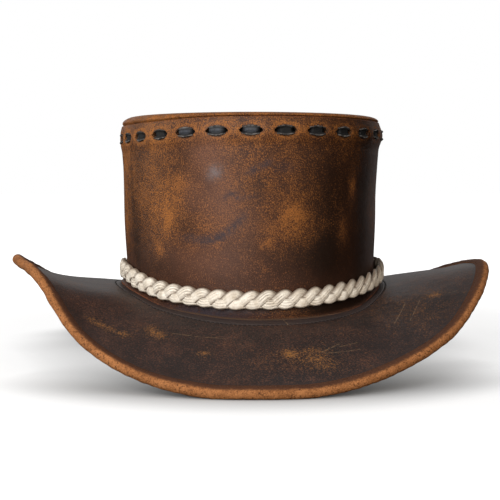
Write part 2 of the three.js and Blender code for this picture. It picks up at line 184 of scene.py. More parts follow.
def marks_at(rows, across, up):
    """Sum of soft oval marks at places (across, up) in millimetres. A row is (across, up, half width, half
    height, lean in degrees, strength), and a mark fades as e to the minus its squared oval distance."""
    total = np.zeros(np.broadcast(across, up).shape)
    for place_across, place_up, half_width, half_height, lean, strength in rows:
        turn = np.radians(lean)
        right = across - place_across
        rise = up - place_up
        oval = ((right * np.cos(turn) - rise * np.sin(turn)) / half_width) ** 2
        oval = oval + ((right * np.sin(turn) + rise * np.cos(turn)) / half_height) ** 2
        total = total + strength * np.exp(-oval)
    return total


def grid_faces(columns, steps, open_section=False):
    """Corner numbers of a swept grid's quads, as an array by column, step and corner. Columns close into a
    ring; a closed section closes too, and an open one starts and ends in one point on the axis."""
    corner = np.arange(columns * steps).reshape(columns, steps)
    if open_section:
        corner[:, 0] = corner[0, 0]
        corner[:, -1] = corner[0, -1]
    after = np.roll(corner, -1, axis=0)
    quads = np.stack([corner, after, np.roll(after, -1, axis=1), np.roll(corner, -1, axis=1)], axis=-1)
    return corner, quads[:, :-1] if open_section else quads


SHARP_DEGREES = 50


def make_mesh(name, points, faces, values=None):
    """Mesh from points in millimetres and rows of four corner numbers; a corner that repeats the next one is
    left out, so such a row is a triangle. Each array of values becomes an attribute of the points."""
    faces = faces.reshape(-1, 4)
    used, numbers = np.unique(faces, return_inverse=True)
    faces = numbers.reshape(-1, 4)
    kept = faces != np.roll(faces, -1, axis=1)
    sides = kept.sum(axis=1)
    mesh = bpy.data.meshes.new(name)
    mesh.vertices.add(len(used))
    mesh.vertices.foreach_set("co", (points.reshape(-1, 3)[used] * MM).ravel())
    mesh.loops.add(int(sides.sum()))
    mesh.loops.foreach_set("vertex_index", faces[kept])
    mesh.polygons.add(len(faces))
    mesh.polygons.foreach_set("loop_start", np.concatenate([[0], np.cumsum(sides)[:-1]]))
    mesh.polygons.foreach_set("use_smooth", np.ones(len(faces), bool))
    for label, value in (values or {}).items():
        attribute = mesh.attributes.new(label, "FLOAT", "POINT")
        spread = np.broadcast_to(value, points.shape[:-1])
        attribute.data.foreach_set("value", np.ascontiguousarray(spread.ravel()[used], np.float32))
    mesh.update(calc_edges=True)
    mesh.set_sharp_from_angle(angle=np.radians(SHARP_DEGREES))
    return mesh


def add_object(name, data):
    """New object of the scene for a mesh, a light or a camera."""
    made = bpy.data.objects.new(name, data)
    bpy.context.scene.collection.objects.link(made)
    return made


def place_piece(mesh, material, node=None):
    """Object of a finished mesh that rides with the hat and wears the given material; given a node, it stands
    for that solid of the frame, which is hidden."""
    mesh.materials.append(material)
    piece = add_object(mesh.name, mesh)
    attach(piece, "root")
    if node:
        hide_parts(node)


def bell(distance, width):
    """1 at no distance, falling as e to the minus (distance over width) squared."""
    return np.exp(-(distance / width) ** 2)


def unit(vectors):
    """Vectors brought to a length of 1."""
    return vectors / np.linalg.norm(vectors, axis=-1, keepdims=True)


def even_turns(count, shift=0):
    """Angles that divide a full turn evenly, moved on by a share of one step."""
    return (np.arange(count) + shift) * TURN / count


def row(start, end, count):
    """Evenly spaced steps as one row, to spread against a column of angles."""
    return np.linspace(start, end, count)[None, :]


def joined(*parts):
    """Rows of steps joined end to end, each first spread over all columns of the ring."""
    columns = max(part.shape[0] for part in parts)
    return np.concatenate([np.broadcast_to(part, (columns, *part.shape[1:])) for part in parts], axis=1)


def on_steps(points, start, end, value=1.0):
    """Array over a swept grid that holds a value on the steps from start to end, and 0 on the others."""
    held = np.zeros(points.shape[:2])
    held[:, start:end] = value
    return held


# Marks on the brim. angle, run: place round the hat and out from the crown; across, deep: half sizes seen
# from the front, side to side and front to back; lean: turn in plan; strength: how far the dye is gone
BRIM_SCUFFS_AND_SHEEN = [
    (230.2, 49.5, 4.5, 4, 0, 0.75),
    (227.3, 52.5, 5, 4, 0, 0.55),
    (224.4, 53.7, 6, 4, 0, 0.5),
    (222, 56, 5, 4, 0, 0.5),
    (235, 34.5, 7, 7, 0, 0.75),
    (238.5, 36, 5, 5, 0, 0.5),
    (252.2, 43.6, 5.5, 3.6, 0, 0.8),
    (274.8, 43.2, 4.5, 4, 0, 0.8),
    (282.8, 41, 10, 4, 0, 0.5),
    (281.8, 50, 14, 8, 0, 0.62),
    (283, 60, 12, 4, 0, 0.35),
    (328.7, 48.1, 6, 4, 0, 0.6),
    (206.7, 46.2, 12, 3, 0, 0.4),
    (202.3, 43.3, 9, 3, 0, 0.35),
    (270, 50, 26, 16, 0, 0.2),
    # These two broad rows on the right and left wings lighten them partly as wear and partly as painted
    # sheen.
    (322, 42, 44, 40, 0, 0.42),
    (200, 38, 26, 20, 0, 0.42),
    (60, 40, 12, 7, 0, 0.7),
    (66, 46, 7, 5, 0, 0.6),
    (118, 52, 9, 5, 0, 0.7),
    (150, 35, 6, 8, 0, 0.7),
    (20, 45, 7, 10, 0, 0.6),
    (95, 60, 16, 4, 0, 0.5),
    (170, 40, 7, 12, 0, 0.5),
]
SHEEN_PATCHES = [
    (256.7, 26.2, 7, 5, 0, 0.9),
]
# Scratches on the brim in plan: from x, y to x, y, and how pale they are
SCRATCHES = [
    (31, -138.6, 44.9, -127.6, 0.7),
    (32.7, -139.7, 54.5, -135.6, 0.6),
    (42.9, -132.2, 54, -128.2, 0.5),
    (81.1, -107, 94.1, -79.3, 0.6),
    (91.9, -103.9, 104.3, -77.9, 0.5),
    (122.6, -78.7, 128.3, -79.4, 0.6),
    (-57.7, -112.6, -40.9, -119, 0.6),
    (-40.9, -119, -25.9, -121.9, 0.5),
    (10.3, -98.2, 14.6, -109.9, 1.0),
]
BRIM_WAVE = 0.8
BRIM_WAVE_SIZE = 55
GROOVE_RUN_SIDE = 8.5
GROOVE_RUN_FRONT = 10.5
GROOVE_DEPTH = 0.4
GROOVE_WIDTH = 0.55
GROOVE_FIELD = 2.0
BRIM_RING = 640


def groove_run(angle):
    """Run of the stitched groove out from the crown: an ellipse of its runs at the side and the front."""
    return np.hypot(GROOVE_RUN_SIDE * np.cos(angle), GROOVE_RUN_FRONT * np.sin(angle))


def plan_marks(rows, points):
    """Marks of a table at points in plan, each centred at its angle and its run beyond the crown's foot."""
    placed = []
    for angle, run, *rest in rows:
        x, y, _ = oval_point(np.radians(angle), run, 0)
        placed.append((x, y, *rest))
    return marks_at(placed, points[..., 0], points[..., 1])


def brim_mesh():
    """Sheet swept round the hat: across the underside from the head opening to the edge and back across the
    top, with long soft waves that die out at the crown and at the edge, and the stitched groove on top."""
    angle = even_turns(BRIM_RING)[:, None]
    reach = brim_reach(angle)
    groove = groove_run(angle)
    lower = -PANEL_WALL + (reach + PANEL_WALL) * row(0, 1, 32)
    before = -PANEL_WALL + (groove - GROOVE_FIELD + PANEL_WALL) * row(0, 1, 7)[:, :-1]
    across = groove + row(-GROOVE_FIELD, GROOVE_FIELD, 17)
    after = groove + GROOVE_FIELD + (reach - groove - GROOVE_FIELD) * row(0, 1, 46)[:, 1:] ** 0.9
    run = joined(lower, joined(before, across, after)[:, ::-1])
    on_top = on_steps(run, lower.shape[1], run.shape[1])
    share = run / reach
    fade = smooth_step(0.08, 0.35, share) * smooth_step(1.0, 0.8, share)
    wave = BRIM_WAVE * fade * ripple(brim_point(angle, share, 0), BRIM_WAVE_SIZE, seed=3)
    pressed = GROOVE_DEPTH * bell(run - groove, GROOVE_WIDTH) * on_top
    points = brim_point(angle, share, (on_top - 0.5) * BRIM_THICKNESS + wave - pressed)
    to_edge = reach - run
    _, faces = grid_faces(*run.shape)
    return make_mesh("brim_worn", points, faces, {
        "worn": plan_marks(BRIM_SCUFFS_AND_SHEEN, points) * on_top,
        "sheen": plan_marks(SHEEN_PATCHES, points) * on_top,
        "margin": smooth_step(9.0, 4.5, to_edge) * on_top,
        "foot": smooth_step(groove + 1.5, groove - 0.5, run) * on_top,
        "groove": bell(run - groove, 0.5) * on_top,
        # Painted shadow that the binding's inner edge casts on the brim, in a narrow band beside it.
        "crease": smooth_step(BINDING_ARM + 2.6, BINDING_ARM - 0.2, to_edge) * on_top,
        "under": 1 - on_top,
    })


class Nodes:
    """Places nodes in the tree of a material, a group or the sky. Inputs take a value or an output socket."""

    def __init__(self, made, tree, end=None):
        self.made = made
        self.tree = tree
        self.end = end
        self.coordinates = self.add("TexCoord")

    def feed(self, socket, value):
        if isinstance(value, bpy.types.NodeSocket):
            self.tree.links.new(value, socket)
        else:
            socket.default_value = value

    def add(self, kind, inputs=None, **settings):
        """Outputs of a new node with its settings and its inputs, which are named or numbered."""
        node = self.tree.nodes.new("ShaderNode" + kind)
        for label, setting in settings.items():
            setattr(node, label, setting)
        for label, value in (inputs or {}).items():
            self.feed(node.inputs[label], value)
        return node.outputs

    def math(self, operation, first, second=0.0, third=0.0):
        return self.add("Math", {0: first, 1: second, 2: third}, operation=operation)[0]

    def times(self, first, second):
        return self.math("MULTIPLY", first, second)

    def plus(self, first, second):
        return self.math("ADD", first, second)

    def scaled(self, value, factor, shift):
        """A value times a factor, plus a shift."""
        return self.math("MULTIPLY_ADD", value, factor, shift)

    def vectors(self, operation, first, second=(0.0, 0.0, 0.0), output=0):
        return self.add("VectorMath", {0: first, 1: second}, operation=operation)[output]

    def ramp(self, value, low, high):
        """Mask that rises smoothly from 0 to 1 while a value goes from low to high."""
        inputs = {"Value": value, "From Min": low, "From Max": high}
        return self.add("MapRange", inputs, interpolation_type="SMOOTHSTEP")[0]

    def mix(self, mask, first, second):
        """Colour that goes from the first to the second as the mask goes from 0 to 1. A Mix node has its
        colours at inputs 6 and 7 and gives them at output 2."""
        return self.add("Mix", {0: mask, 6: first, 7: second}, data_type="RGBA")[2]

    def cloud(self, size, detail=4.0, roughness=0.6):
        """Noise whose blots are about as large as size, in millimetres."""
        inputs = {"Scale": 1 / (size * MM), "Detail": detail, "Roughness": roughness}
        return self.add("TexNoise", {"Vector": self.coordinates["Object"], **inputs})[0]

    def point(self, label):
        """Value that the mesh keeps for each of its points."""
        return self.add("Attribute", attribute_name=label)["Fac"]

    def shade(self, colour, tone, label, strength=1.0):
        """Colour that turns to a tone as the mesh's value times the strength goes from 0 to 1."""
        return self.mix(self.times(self.point(label), strength), colour, tone)

    def bump(self, height, depth, strength, under=None):
        """Normal of a relief whose height goes from 0 to 1 over a depth in millimetres."""
        inputs = {"Height": height, "Distance": depth * MM, "Strength": strength}
        if under:
            inputs["Normal"] = under
        return self.add("Bump", inputs)[0]

    def finish(self, **values):
        """Feeds the last sockets, named with _ for spaces, and gives the finished material or group."""
        for label, value in values.items():
            self.feed(self.end[label.replace("_", " ")], value)
        return self.made


def new_group(name, inputs, outputs):
    """Empty node group with named sockets: its nodes, and the sockets that it is given."""
    group = bpy.data.node_groups.new(name, "ShaderNodeTree")
    for in_out, sockets in (("INPUT", inputs), ("OUTPUT", outputs)):
        for label, kind in sockets.items():
            group.interface.new_socket(label, in_out=in_out, socket_type="NodeSocket" + kind)
    given = group.nodes.new("NodeGroupInput").outputs
    return Nodes(group, group, group.nodes.new("NodeGroupOutput").inputs), given


def grain_group():
    """Leather grain: rounded pebbles with creases between them, and flecks as fine as the pebbles."""
    nodes, given = new_group("Leather grain", {"Pebbles": "Float"}, {"Height": "Float", "Fleck": "Float"})
    place = nodes.coordinates["Object"]
    pebbles = {"Vector": place, "Scale": given["Pebbles"], "Smoothness": 0.5}
    cells = nodes.add("TexVoronoi", pebbles, feature="SMOOTH_F1")["Distance"]
    finer = nodes.times(given["Pebbles"], 1.1)
    noise = nodes.add("TexNoise", {"Vector": place, "Scale": finer, "Detail": 3.0, "Roughness": 0.65})[0]
    fleck = nodes.add("MapRange", {"Value": noise, "From Min": 0.24, "From Max": 0.76})[0]
    return nodes.finish(Height=nodes.scaled(cells, -0.6, noise), Fleck=fleck)


def dye_group():
    """Dyed hide that is rubbed: the dye is cloudy, and where the wear and the flecks add up it is gone."""
    colours = {"Deep Colour": "Color", "Dye Colour": "Color", "Rubbed Colour": "Color"}
    amounts = {"Worn": "Float", "Fleck": "Float", "Grit": "Float", "Cloudy": "Float"}
    nodes, given = new_group("Rubbed dye", {**colours, **amounts}, {"Colour": "Color", "Rubbed": "Float"})
    fleck = nodes.times(nodes.plus(given["Fleck"], -0.5), given["Grit"])
    clouds = nodes.plus(nodes.cloud(30), -0.5)
    mottle = nodes.plus(nodes.cloud(9, detail=6.0, roughness=0.7), -0.5)
    uneven = nodes.times(nodes.scaled(clouds, 1.2, mottle), given["Cloudy"])
    bare = nodes.scaled(nodes.math("MAXIMUM", given["Worn"]), 0.8, -0.2)
    dye = nodes.scaled(fleck, 0.8, nodes.plus(bare, uneven))
    dyed = nodes.mix(nodes.ramp(dye, -0.4, 0.4), given["Deep Colour"], given["Dye Colour"])
    rubbed = nodes.ramp(nodes.plus(fleck, nodes.plus(given["Worn"], uneven)), 0.0, 1.1)
    return nodes.finish(Colour=nodes.mix(rubbed, dyed, given["Rubbed Colour"]), Rubbed=rubbed)


def scratch_group():
    """A straight scratch in plan: 1 on the line from Start to End, fading to 0 at its width."""
    given_kinds = {"Start": "Vector", "End": "Vector", "Width": "Float"}
    nodes, given = new_group("Scratch", given_kinds, {"Mask": "Float"})
    flat = nodes.vectors("MULTIPLY", nodes.coordinates["Object"], (1.0, 1.0, 0.0))
    line = nodes.vectors("SUBTRACT", given["End"], given["Start"])
    away = nodes.vectors("SUBTRACT", flat, given["Start"])
    along = nodes.vectors("DOT_PRODUCT", away, line, "Value")
    square = nodes.vectors("DOT_PRODUCT", line, line, "Value")
    share = nodes.add("Clamp", {"Value": nodes.math("DIVIDE", along, square)})[0]
    nearest = nodes.add("VectorMath", {0: line, "Scale": share}, operation="SCALE")[0]
    distance = nodes.vectors("DISTANCE", away, nearest, "Value")
    thin = nodes.math("SUBTRACT", 1.0, nodes.math("DIVIDE", distance, given["Width"]))
    return nodes.finish(Mask=nodes.add("Clamp", {"Value": thin})[0])


leather_grain = grain_group()
rubbed_dye = dye_group()
scratch_line = scratch_group()


def new_material(name):
    """Nodes of a new material with one Principled shader."""
    material = bpy.data.materials.new(name)
    material.use_nodes = True
    shader = next(item for item in material.node_tree.nodes if item.type == "BSDF_PRINCIPLED")
    return Nodes(material, material.node_tree, shader.inputs)


def dyed_hide(nodes, pebbles, tones, worn, grit, cloudy):
    """Outputs of the grain and of the rubbed dye on it; tones are the deep, dyed and rubbed colours."""
    grain = nodes.add("Group", {"Pebbles": pebbles}, node_tree=leather_grain)
    colours = dict(zip(("Deep Colour", "Dye Colour", "Rubbed Colour"), tones))
    amounts = {"Worn": worn, "Fleck": grain["Fleck"], "Grit": grit, "Cloudy": cloudy}
    return grain, nodes.add("Group", {**colours, **amounts}, node_tree=rubbed_dye)


BRIM_DEEP = (0.0105, 0.006, 0.005, 1)
BRIM_DYE = (0.068, 0.028, 0.0175, 1)
BRIM_RUBBED = (0.23, 0.098, 0.021, 1)
BRIM_MARGIN = (0.030, 0.013, 0.008, 1)
BRIM_UNDER = (0.060, 0.030, 0.017, 1)
BRIM_UNDER_PALE = (0.115, 0.060, 0.034, 1)
GROOVE_DARK_AND_SHADOW = (0.008, 0.006, 0.006, 1)
FOOT_DARK = (0.036, 0.026, 0.024, 1)
SCRATCH_PALE = (0.26, 0.16, 0.08, 1)
SCRATCH_WIDTH = 0.38


def brim_leather():
    """Dark dyed leather, scuffed and scratched on top, with two broad scuffs on the wings that also paint
    their sheen; redder towards the binding, dark just beside it with a painted shadow of its inner edge, dark
    in the groove, and dull brown underneath."""
    nodes = new_material("Brim leather")
    worn = nodes.scaled(nodes.point("worn"), 1.1, -0.46)
    tones = (BRIM_DEEP, BRIM_DYE, BRIM_RUBBED)
    grain, dyed = dyed_hide(nodes, 950.0, tones, worn, grit=2.2, cloudy=0.8)
    colour = nodes.shade(dyed["Colour"], BRIM_MARGIN, "margin", 0.6)
    colour = nodes.shade(colour, FOOT_DARK, "foot", 0.7)
    colour = nodes.shade(colour, GROOVE_DARK_AND_SHADOW, "groove", 0.45)
    # Painted shadow beside the binding's inner edge.
    colour = nodes.shade(colour, GROOVE_DARK_AND_SHADOW, "crease", 0.75)
    colour = nodes.shade(colour, nodes.mix(dyed["Rubbed"], BRIM_UNDER, BRIM_UNDER_PALE), "under")
    scratched = 0.0
    for start_x, start_y, end_x, end_y, paleness in SCRATCHES:
        line = {"Start": (start_x * MM, start_y * MM, 0), "End": (end_x * MM, end_y * MM, 0)}
        mask = nodes.add("Group", {**line, "Width": SCRATCH_WIDTH * MM}, node_tree=scratch_line)["Mask"]
        scratched = nodes.math("MAXIMUM", nodes.times(mask, paleness), scratched)
    scratched = nodes.times(scratched, nodes.ramp(nodes.cloud(3), 0.3, 0.6))
    rough = nodes.scaled(grain["Fleck"], 0.08, nodes.scaled(dyed["Rubbed"], 0.2, 0.46))
    creases = nodes.bump(nodes.cloud(9, detail=6.0), 0.8, 0.5)
    return nodes.finish(
        Base_Color=nodes.mix(scratched, colour, SCRATCH_PALE),
        Roughness=nodes.scaled(nodes.point("sheen"), -0.1, rough),
        Specular_IOR_Level=0.35,
        Normal=nodes.bump(grain["Height"], 0.16, 0.8, creases),
    )


place_piece(brim_mesh(), brim_leather(), "brim")


# Crown's side panel
# One strip of brown leather bent into an oval tube, sewn at the back and turned out at its foot into a narrow
# flange on the brim. A row of slits near its top edge takes the lace, and its waxed face is rubbed orange.

PANEL_EDGE_HEIGHT = 159.5
PANEL_EDGE_WAVE = 3.4
PANEL_EDGE_WALL = 1.3
CROWN_FLARE = 4.9
FOOT_FLANGE_EDGE = 1.6
TIP_FLANGE_DEPTH = 17
STITCH_COUNT = 28
STITCH_SHARE = 0.68
LACE_WIDTH = 6.7
LACE_PRESS = 0.5
LACE_DROP = 8.8
SLIT_LENGTH = 4.2
LACE_START_DEGREES = -5.3
SLIT_HALF = LACE_WIDTH / 2 + GAP
SLIT_LOW = LACE_DROP + SLIT_HALF
SLIT_HIGH = LACE_DROP - SLIT_HALF

# Height of the panel's top edge at each section, as a share of its wave
PANEL_EDGE_SHARES = [
    0.70, 0.72, 0.76, 0.82, 0.88, 0.90, 0.90, 0.85, 0.70, 0.45, 0.20, 0.05,
    0.00, 0.02, 0.15, 0.40, 0.75, 0.95, 1.00, 1.00, 0.90, 0.80, 0.75, 0.70,
]
# How far the panel stands outside the foot's oval at each depth below its top edge, as a share of its flare
PROFILE_END = 1.8 * TIP_FLANGE_DEPTH
PANEL_DEPTHS = [-1, 0, SLIT_HIGH, SLIT_LOW, TIP_FLANGE_DEPTH, PROFILE_END]
PANEL_OUTS = [0.62, 0.66, 1.0, 1.0, 0.71, 0.58]
PROFILE_BLUR = np.linspace(-2.4, 2.4, 9)
LACE_LEAN = 0.7
RIGHT_HOLLOW = 0.9
HOLLOW_DEPTH = 48
HOLLOW_HEIGHT = 18

# Grid lines across one stitch: each slit is four cells wide
SLIT_OUTER_COLUMNS = 4
UNDER_LACE_COLUMNS = 6
BETWEEN_COLUMNS = 6
SLIT_ROWS = 6
SLIT_LENS_END = 7.75
SLIT_LENS_POWER = 0.9
SLIT_LEAST_HALF = 0.35
SLIT_ROWS_OPENING = 1.4
ARC_STEPS = 2880


def edge_height(angle):
    return PANEL_EDGE_HEIGHT + PANEL_EDGE_WAVE * round_the_hat(PANEL_EDGE_SHARES, angle)


lace_start = np.radians(FRONT + LACE_START_DEGREES)
arc_angles = lace_start + np.linspace(0, TURN, ARC_STEPS + 1)
arc_points = oval_point(arc_angles, CROWN_FLARE, 0)
arc_lengths = np.concatenate([[0], np.cumsum(np.linalg.norm(np.diff(arc_points, axis=0), axis=1))])
LACE_ROUND = arc_lengths[-1]
STITCH_PITCH = LACE_ROUND / STITCH_COUNT
SLIT_OUTER_END = STITCH_SHARE * STITCH_PITCH / 2
SLIT_INNER_END = SLIT_OUTER_END - SLIT_LENGTH


def angle_at(length):
    """Angle at a length round the lace, from the middle of the front stitch, read off the summed chords."""
    return lace_start + np.floor(length / LACE_ROUND) * TURN + np.interp(
        length % LACE_ROUND, arc_lengths, arc_angles - lace_start
    )


def stitch_offsets():
    """Places of the grid's columns in one stitch: the left slit, the stretch under the lace, the right slit
    and the stretch to the next stitch, each evenly divided."""
    marks = [-SLIT_OUTER_END, -SLIT_INNER_END, SLIT_INNER_END, SLIT_OUTER_END, STITCH_PITCH - SLIT_OUTER_END]
    counts = [SLIT_OUTER_COLUMNS, UNDER_LACE_COLUMNS, SLIT_OUTER_COLUMNS, BETWEEN_COLUMNS]
    parts = [
        np.linspace(start, end, count, endpoint=False) for start, end, count in zip(marks, marks[1:], counts)
    ]
    return np.concatenate(parts)


def offset_at(length):
    """Distance round the lace from the middle of the nearest stitch, below 0 on its left."""
    return (length + STITCH_PITCH / 2) % STITCH_PITCH - STITCH_PITCH / 2


offsets = stitch_offsets()
crown_lengths = (np.arange(STITCH_COUNT)[:, None] * STITCH_PITCH + offsets[None, :]).ravel()
crown_angle = angle_at(crown_lengths)[:, None]
from_stitch = offset_at(crown_lengths)[:, None]
CROWN_RING = len(crown_lengths)


def slit_half_height(offset):
    """Half height of a slit at an offset from the stitch's middle: a pointed lens over the whole stitch, with
    a small least value so that the grid stays open between the stitches."""
    inside = np.clip(1 - (offset / SLIT_LENS_END) ** 2, 0, 1)
    between = SLIT_ROWS_OPENING * smooth_step(SLIT_OUTER_END, STITCH_PITCH / 2, np.abs(offset))
    return np.maximum(SLIT_HALF * inside ** SLIT_LENS_POWER, SLIT_LEAST_HALF + between)


LENS_SPREAD = 8.0
LACE_FIELD = 5.2
PUFF_BETWEEN = 0.25
PUFF_AT_ENDS = 0.3


def lace_rows(*parts):
    """Depths below the edge at each column for rows that are evenly spaced at the lace: within the slit's
    half height rows follow its lens, and outside it they spread back to their own depth."""
    away = np.concatenate(parts, axis=1) - LACE_DROP
    far = np.abs(away)
    half = slit_half_height(from_stitch)
    beyond = half + (far - SLIT_HALF) * (LENS_SPREAD - half) / (LENS_SPREAD - SLIT_HALF)
    warped = np.where(far <= SLIT_HALF, far * half / SLIT_HALF, beyond)
    return LACE_DROP + np.sign(away) * np.where(far < LENS_SPREAD, warped, far)


def panel_out(below, offset):
    """How far the panel's face stands out at a depth below its edge: the profile through the named depths,
    blurred over a few millimetres, pressed in under each lace stitch and puffed out between stitches."""
    shape = np.mean([np.interp(below + step, PANEL_DEPTHS, PANEL_OUTS) for step in PROFILE_BLUR], axis=0)
    away = np.abs(offset)
    near_lace = bell(below - LACE_DROP, LACE_FIELD)
    under = smooth_step(SLIT_OUTER_END + 1, SLIT_INNER_END - 0.5, away)
    between = smooth_step(SLIT_OUTER_END - 1, STITCH_PITCH / 2, away)
    ends = bell(away - SLIT_OUTER_END - 1.1, 0.9) * bell(below - LACE_DROP, LACE_FIELD / 2)
    pressed = LACE_PRESS * under * near_lace
    lean = LACE_LEAN * np.cos(crown_angle) * near_lace
    return CROWN_FLARE * shape - pressed + lean + PUFF_BETWEEN * between * near_lace + PUFF_AT_ENDS * ends


def straight_out(below, wall_top):
    """How far the lower wall stands out: evenly more from its foot, at wall_top, up to the profile's end."""
    return CROWN_FLARE * PANEL_OUTS[-1] * (wall_top - below) / (wall_top - PROFILE_END)


# Marks on the crown's side, by what they show as: rubbed, dark (partly painted shade), pale bloom with
# painted sheen, blue stain, or a grey smudge with a painted highlight.
# angle, height: place; across, up: half sizes; lean: from upright, to the right; strength
CROWN_MARKS = {
    "worn": [
        (191, 125, 11, 42, 0, 0.42),
        (221, 117, 20, 32, 0, 0.2),
        (228.5, 97.5, 4, 8, 22, 0.38),
        (226.5, 101, 6, 12, 18, 0.15),
        (233, 119, 7, 9, 10, 0.25),
        (222, 77.5, 4.5, 7, 10, 0.55),
        (219, 151, 10, 7, 0, 0.15),
        (284, 103, 7, 6, 0, 0.35),
        (279, 100, 5, 5, 0, 0.25),
        (281, 116, 16, 26, 0, 0.1),
        # This row takes wear off the right side so that it is darker there: painted shade on the side turned
        # from the lights.
        (320, 105, 34, 80, 0, -0.25),
        (313.3, 117.5, 4, 8, 0, 0.4),
        (306.6, 92, 4, 10, 0, 0.25),
        (302, 108, 3, 12, 0, 0.15),
        (297, 97, 4, 8, 0, 0.3),
        (287.6, 90, 8, 6, 0, 0.2),
        (270.4, 84.7, 6, 5, 0, 0.2),
        (250.5, 83.9, 3, 3, 0, 0.5),
        (285, 40, 40, 4, 0, 0.4),
        (60, 110, 14, 18, 15, 0.35),
        (100, 95, 9, 14, -10, 0.35),
        (130, 125, 12, 9, 0, 0.3),
        (160, 90, 10, 16, 12, 0.3),
        (20, 100, 8, 16, -12, 0.35),
    ],
    "dark": [
        # The next three rows darken the right side, turned from the lights: painted shade. The other rows are
        # dark patches of the leather.
        (300, 104, 21, 60, 0, 0.9),
        (287, 112, 9, 34, 0, 0.18),
        (322, 105, 20, 85, 0, 1.0),
        (313.3, 117.5, 5, 9, 0, -0.65),
        (306.6, 92, 5, 12, 0, -0.35),
        (204.5, 84, 8, 28, 0, 0.75),
        (202, 118, 3, 20, 0, 0.4),
        (210, 131, 8, 7, 0, 0.35),
        (237, 95, 8, 10, 20, 0.45),
        (236, 136, 7, 9, 0, 0.3),
        (221, 66, 22, 9, 0, 0.35),
        (288, 73, 34, 15, 0, 0.6),
        (268, 120, 9, 7, 0, 0.35),
        (266, 96, 12, 20, 0, 0.2),
        (213, 98, 6, 16, 0, 0.3),
        (274, 143, 8, 5, 0, 0.25),
        (95, 82, 34, 14, 0, 0.45),
        (140, 112, 9, 16, 0, 0.4),
        (40, 102, 10, 20, 0, 0.35),
        (75, 130, 12, 8, 0, 0.3),
    ],
    "bloom_and_sheen": [
        # The rows at angles 240 to 264 lie where the key light's sheen falls and paint that sheen with the
        # pale bloom; the other rows are wax bloom only.
        (246, 140, 14, 12, -25, 0.7),
        (252.5, 112, 14, 20, 0, 0.65),
        (240, 112, 9, 14, 0, 0.35),
        (247, 72, 34, 13, 0, 0.5),
        (264, 94, 12, 14, 0, 0.3),
        (110, 120, 20, 16, 10, 0.5),
        (30, 85, 14, 18, 0, 0.4),
        (165, 118, 12, 16, 0, 0.4),
        (70, 72, 24, 12, 0, 0.4),
    ],
    "stain": [
        (255, 113.6, 3.5, 1.3, -35, 0.8),
        (258.3, 113.6, 3.5, 1.3, 35, 0.9),
        (262.8, 113, 7, 1, 0, 0.9),
        (239.5, 86.5, 8, 2.2, 4, 0.6),
        (246, 85.3, 7, 2.4, -5, 0.75),
        (252, 88, 7, 2.6, -25, 0.75),
        (256.5, 93, 7, 2.4, -48, 0.7),
        (261, 99, 6, 2.2, -50, 0.5),
        (265.5, 129.6, 5, 2.2, -25, 0.7),
        (270.5, 133.3, 5, 2, -30, 0.7),
        (278, 131, 8, 3, 0, 0.3),
        (246, 40, 34, 6, 0, 0.72),
        (80, 105, 12, 3, 5, 0.6),
        (120, 80, 8, 4, 20, 0.6),
    ],
    "smudge_and_highlight": [
        # A grey smudge painted where the key light's highlight falls: painted highlight.
        (249.8, 128, 5.2, 4, -20, 0.75),
    ],
}
PANEL_WAVE = 0.45
PANEL_WAVE_SIZE = 60
EDGE_WAVE_SHARE = 0.35
EDGE_WAVE_END = 14
FULL_WAVE_START = 30
COVE_CREASE = 0.35
CREASE_PACE = 1.9
CREASES_START = (205, 222)
CREASES_END = (262, 245)
FLANGE_SKIVE = 1.2
# Strength of the painted shade under the plait.
UNDER_PLAIT_SHADE = 0.85
LACE_RUB = 0.08
SLIT_RUB = 0.3
SEAM_DEGREES = 90
SEAM_PRESS = 0.5
DEEP_START = 20


def around_crown(degrees):
    """Length round the lace at an angle in degrees, from the middle of the front stitch."""
    turned = (np.radians(degrees) - lace_start) % TURN
    return np.interp(turned, arc_angles - lace_start, arc_lengths)


def crown_marks(label, length, height):
    """Marks of one kind on the crown's side, laid out flat; each is also tried one full turn on and back."""
    total = 0
    for turns in (-1, 0, 1):
        placed = [(around_crown(angle) + turns * LACE_ROUND, *rest) for angle, *rest in CROWN_MARKS[label]]
        total = total + marks_at(placed, length, height)
    return total


def panel_wave(angle, below):
    """Soft unevenness of the panel's face at a depth below its edge."""
    base = oval_point(angle, 0, edge_height(angle) - below)
    return PANEL_WAVE * ripple(base, PANEL_WAVE_SIZE, seed=11)


def wave_share(below):
    """Share of the wave at a depth below the edge: small beside the lace, so that its slits stay even."""
    return EDGE_WAVE_SHARE + (1 - EDGE_WAVE_SHARE) * smooth_step(EDGE_WAVE_END, FULL_WAVE_START, below)


def panel_wall(below):
    """Thickness of the panel, which is thinned towards its top edge."""
    return PANEL_WALL + (PANEL_EDGE_WALL - PANEL_WALL) * smooth_step(5.2, 0.3, below)


def pierce(corner, faces, low, mirror):
    """Cuts the slits of all stitches through a swept wall: drops the cells of a slit's columns from step low
    and their mirror cells on the other face, and joins the two rims with a strip of quads round each slit."""
    high = low + SLIT_ROWS
    width = SLIT_OUTER_COLUMNS
    starts = np.arange(STITCH_COUNT) * len(offsets)
    starts = np.concatenate([starts, starts + width + UNDER_LACE_COLUMNS])[:, None]
    right = np.arange(width)
    up = np.arange(low, high)
    cut = np.zeros(faces.shape[:2], bool)
    across = (starts + right) % CROWN_RING
    cut[across[..., None], up] = True
    cut[across[..., None], mirror - up - 1] = True
    columns_round = np.concatenate([right, np.full(len(up), width), width - right, np.zeros(len(up), int)])
    steps_round = np.concatenate([np.full(width, low), up, np.full(width, high), high + low - up])
    ring = (starts + columns_round) % CROWN_RING
    near = corner[ring, steps_round]
    far = corner[ring, mirror - steps_round]
    strip = np.stack([near, np.roll(near, -1, axis=1), np.roll(far, -1, axis=1), far], axis=-1)
    return np.concatenate([faces[~cut].reshape(-1, 4), strip.reshape(-1, 4)])


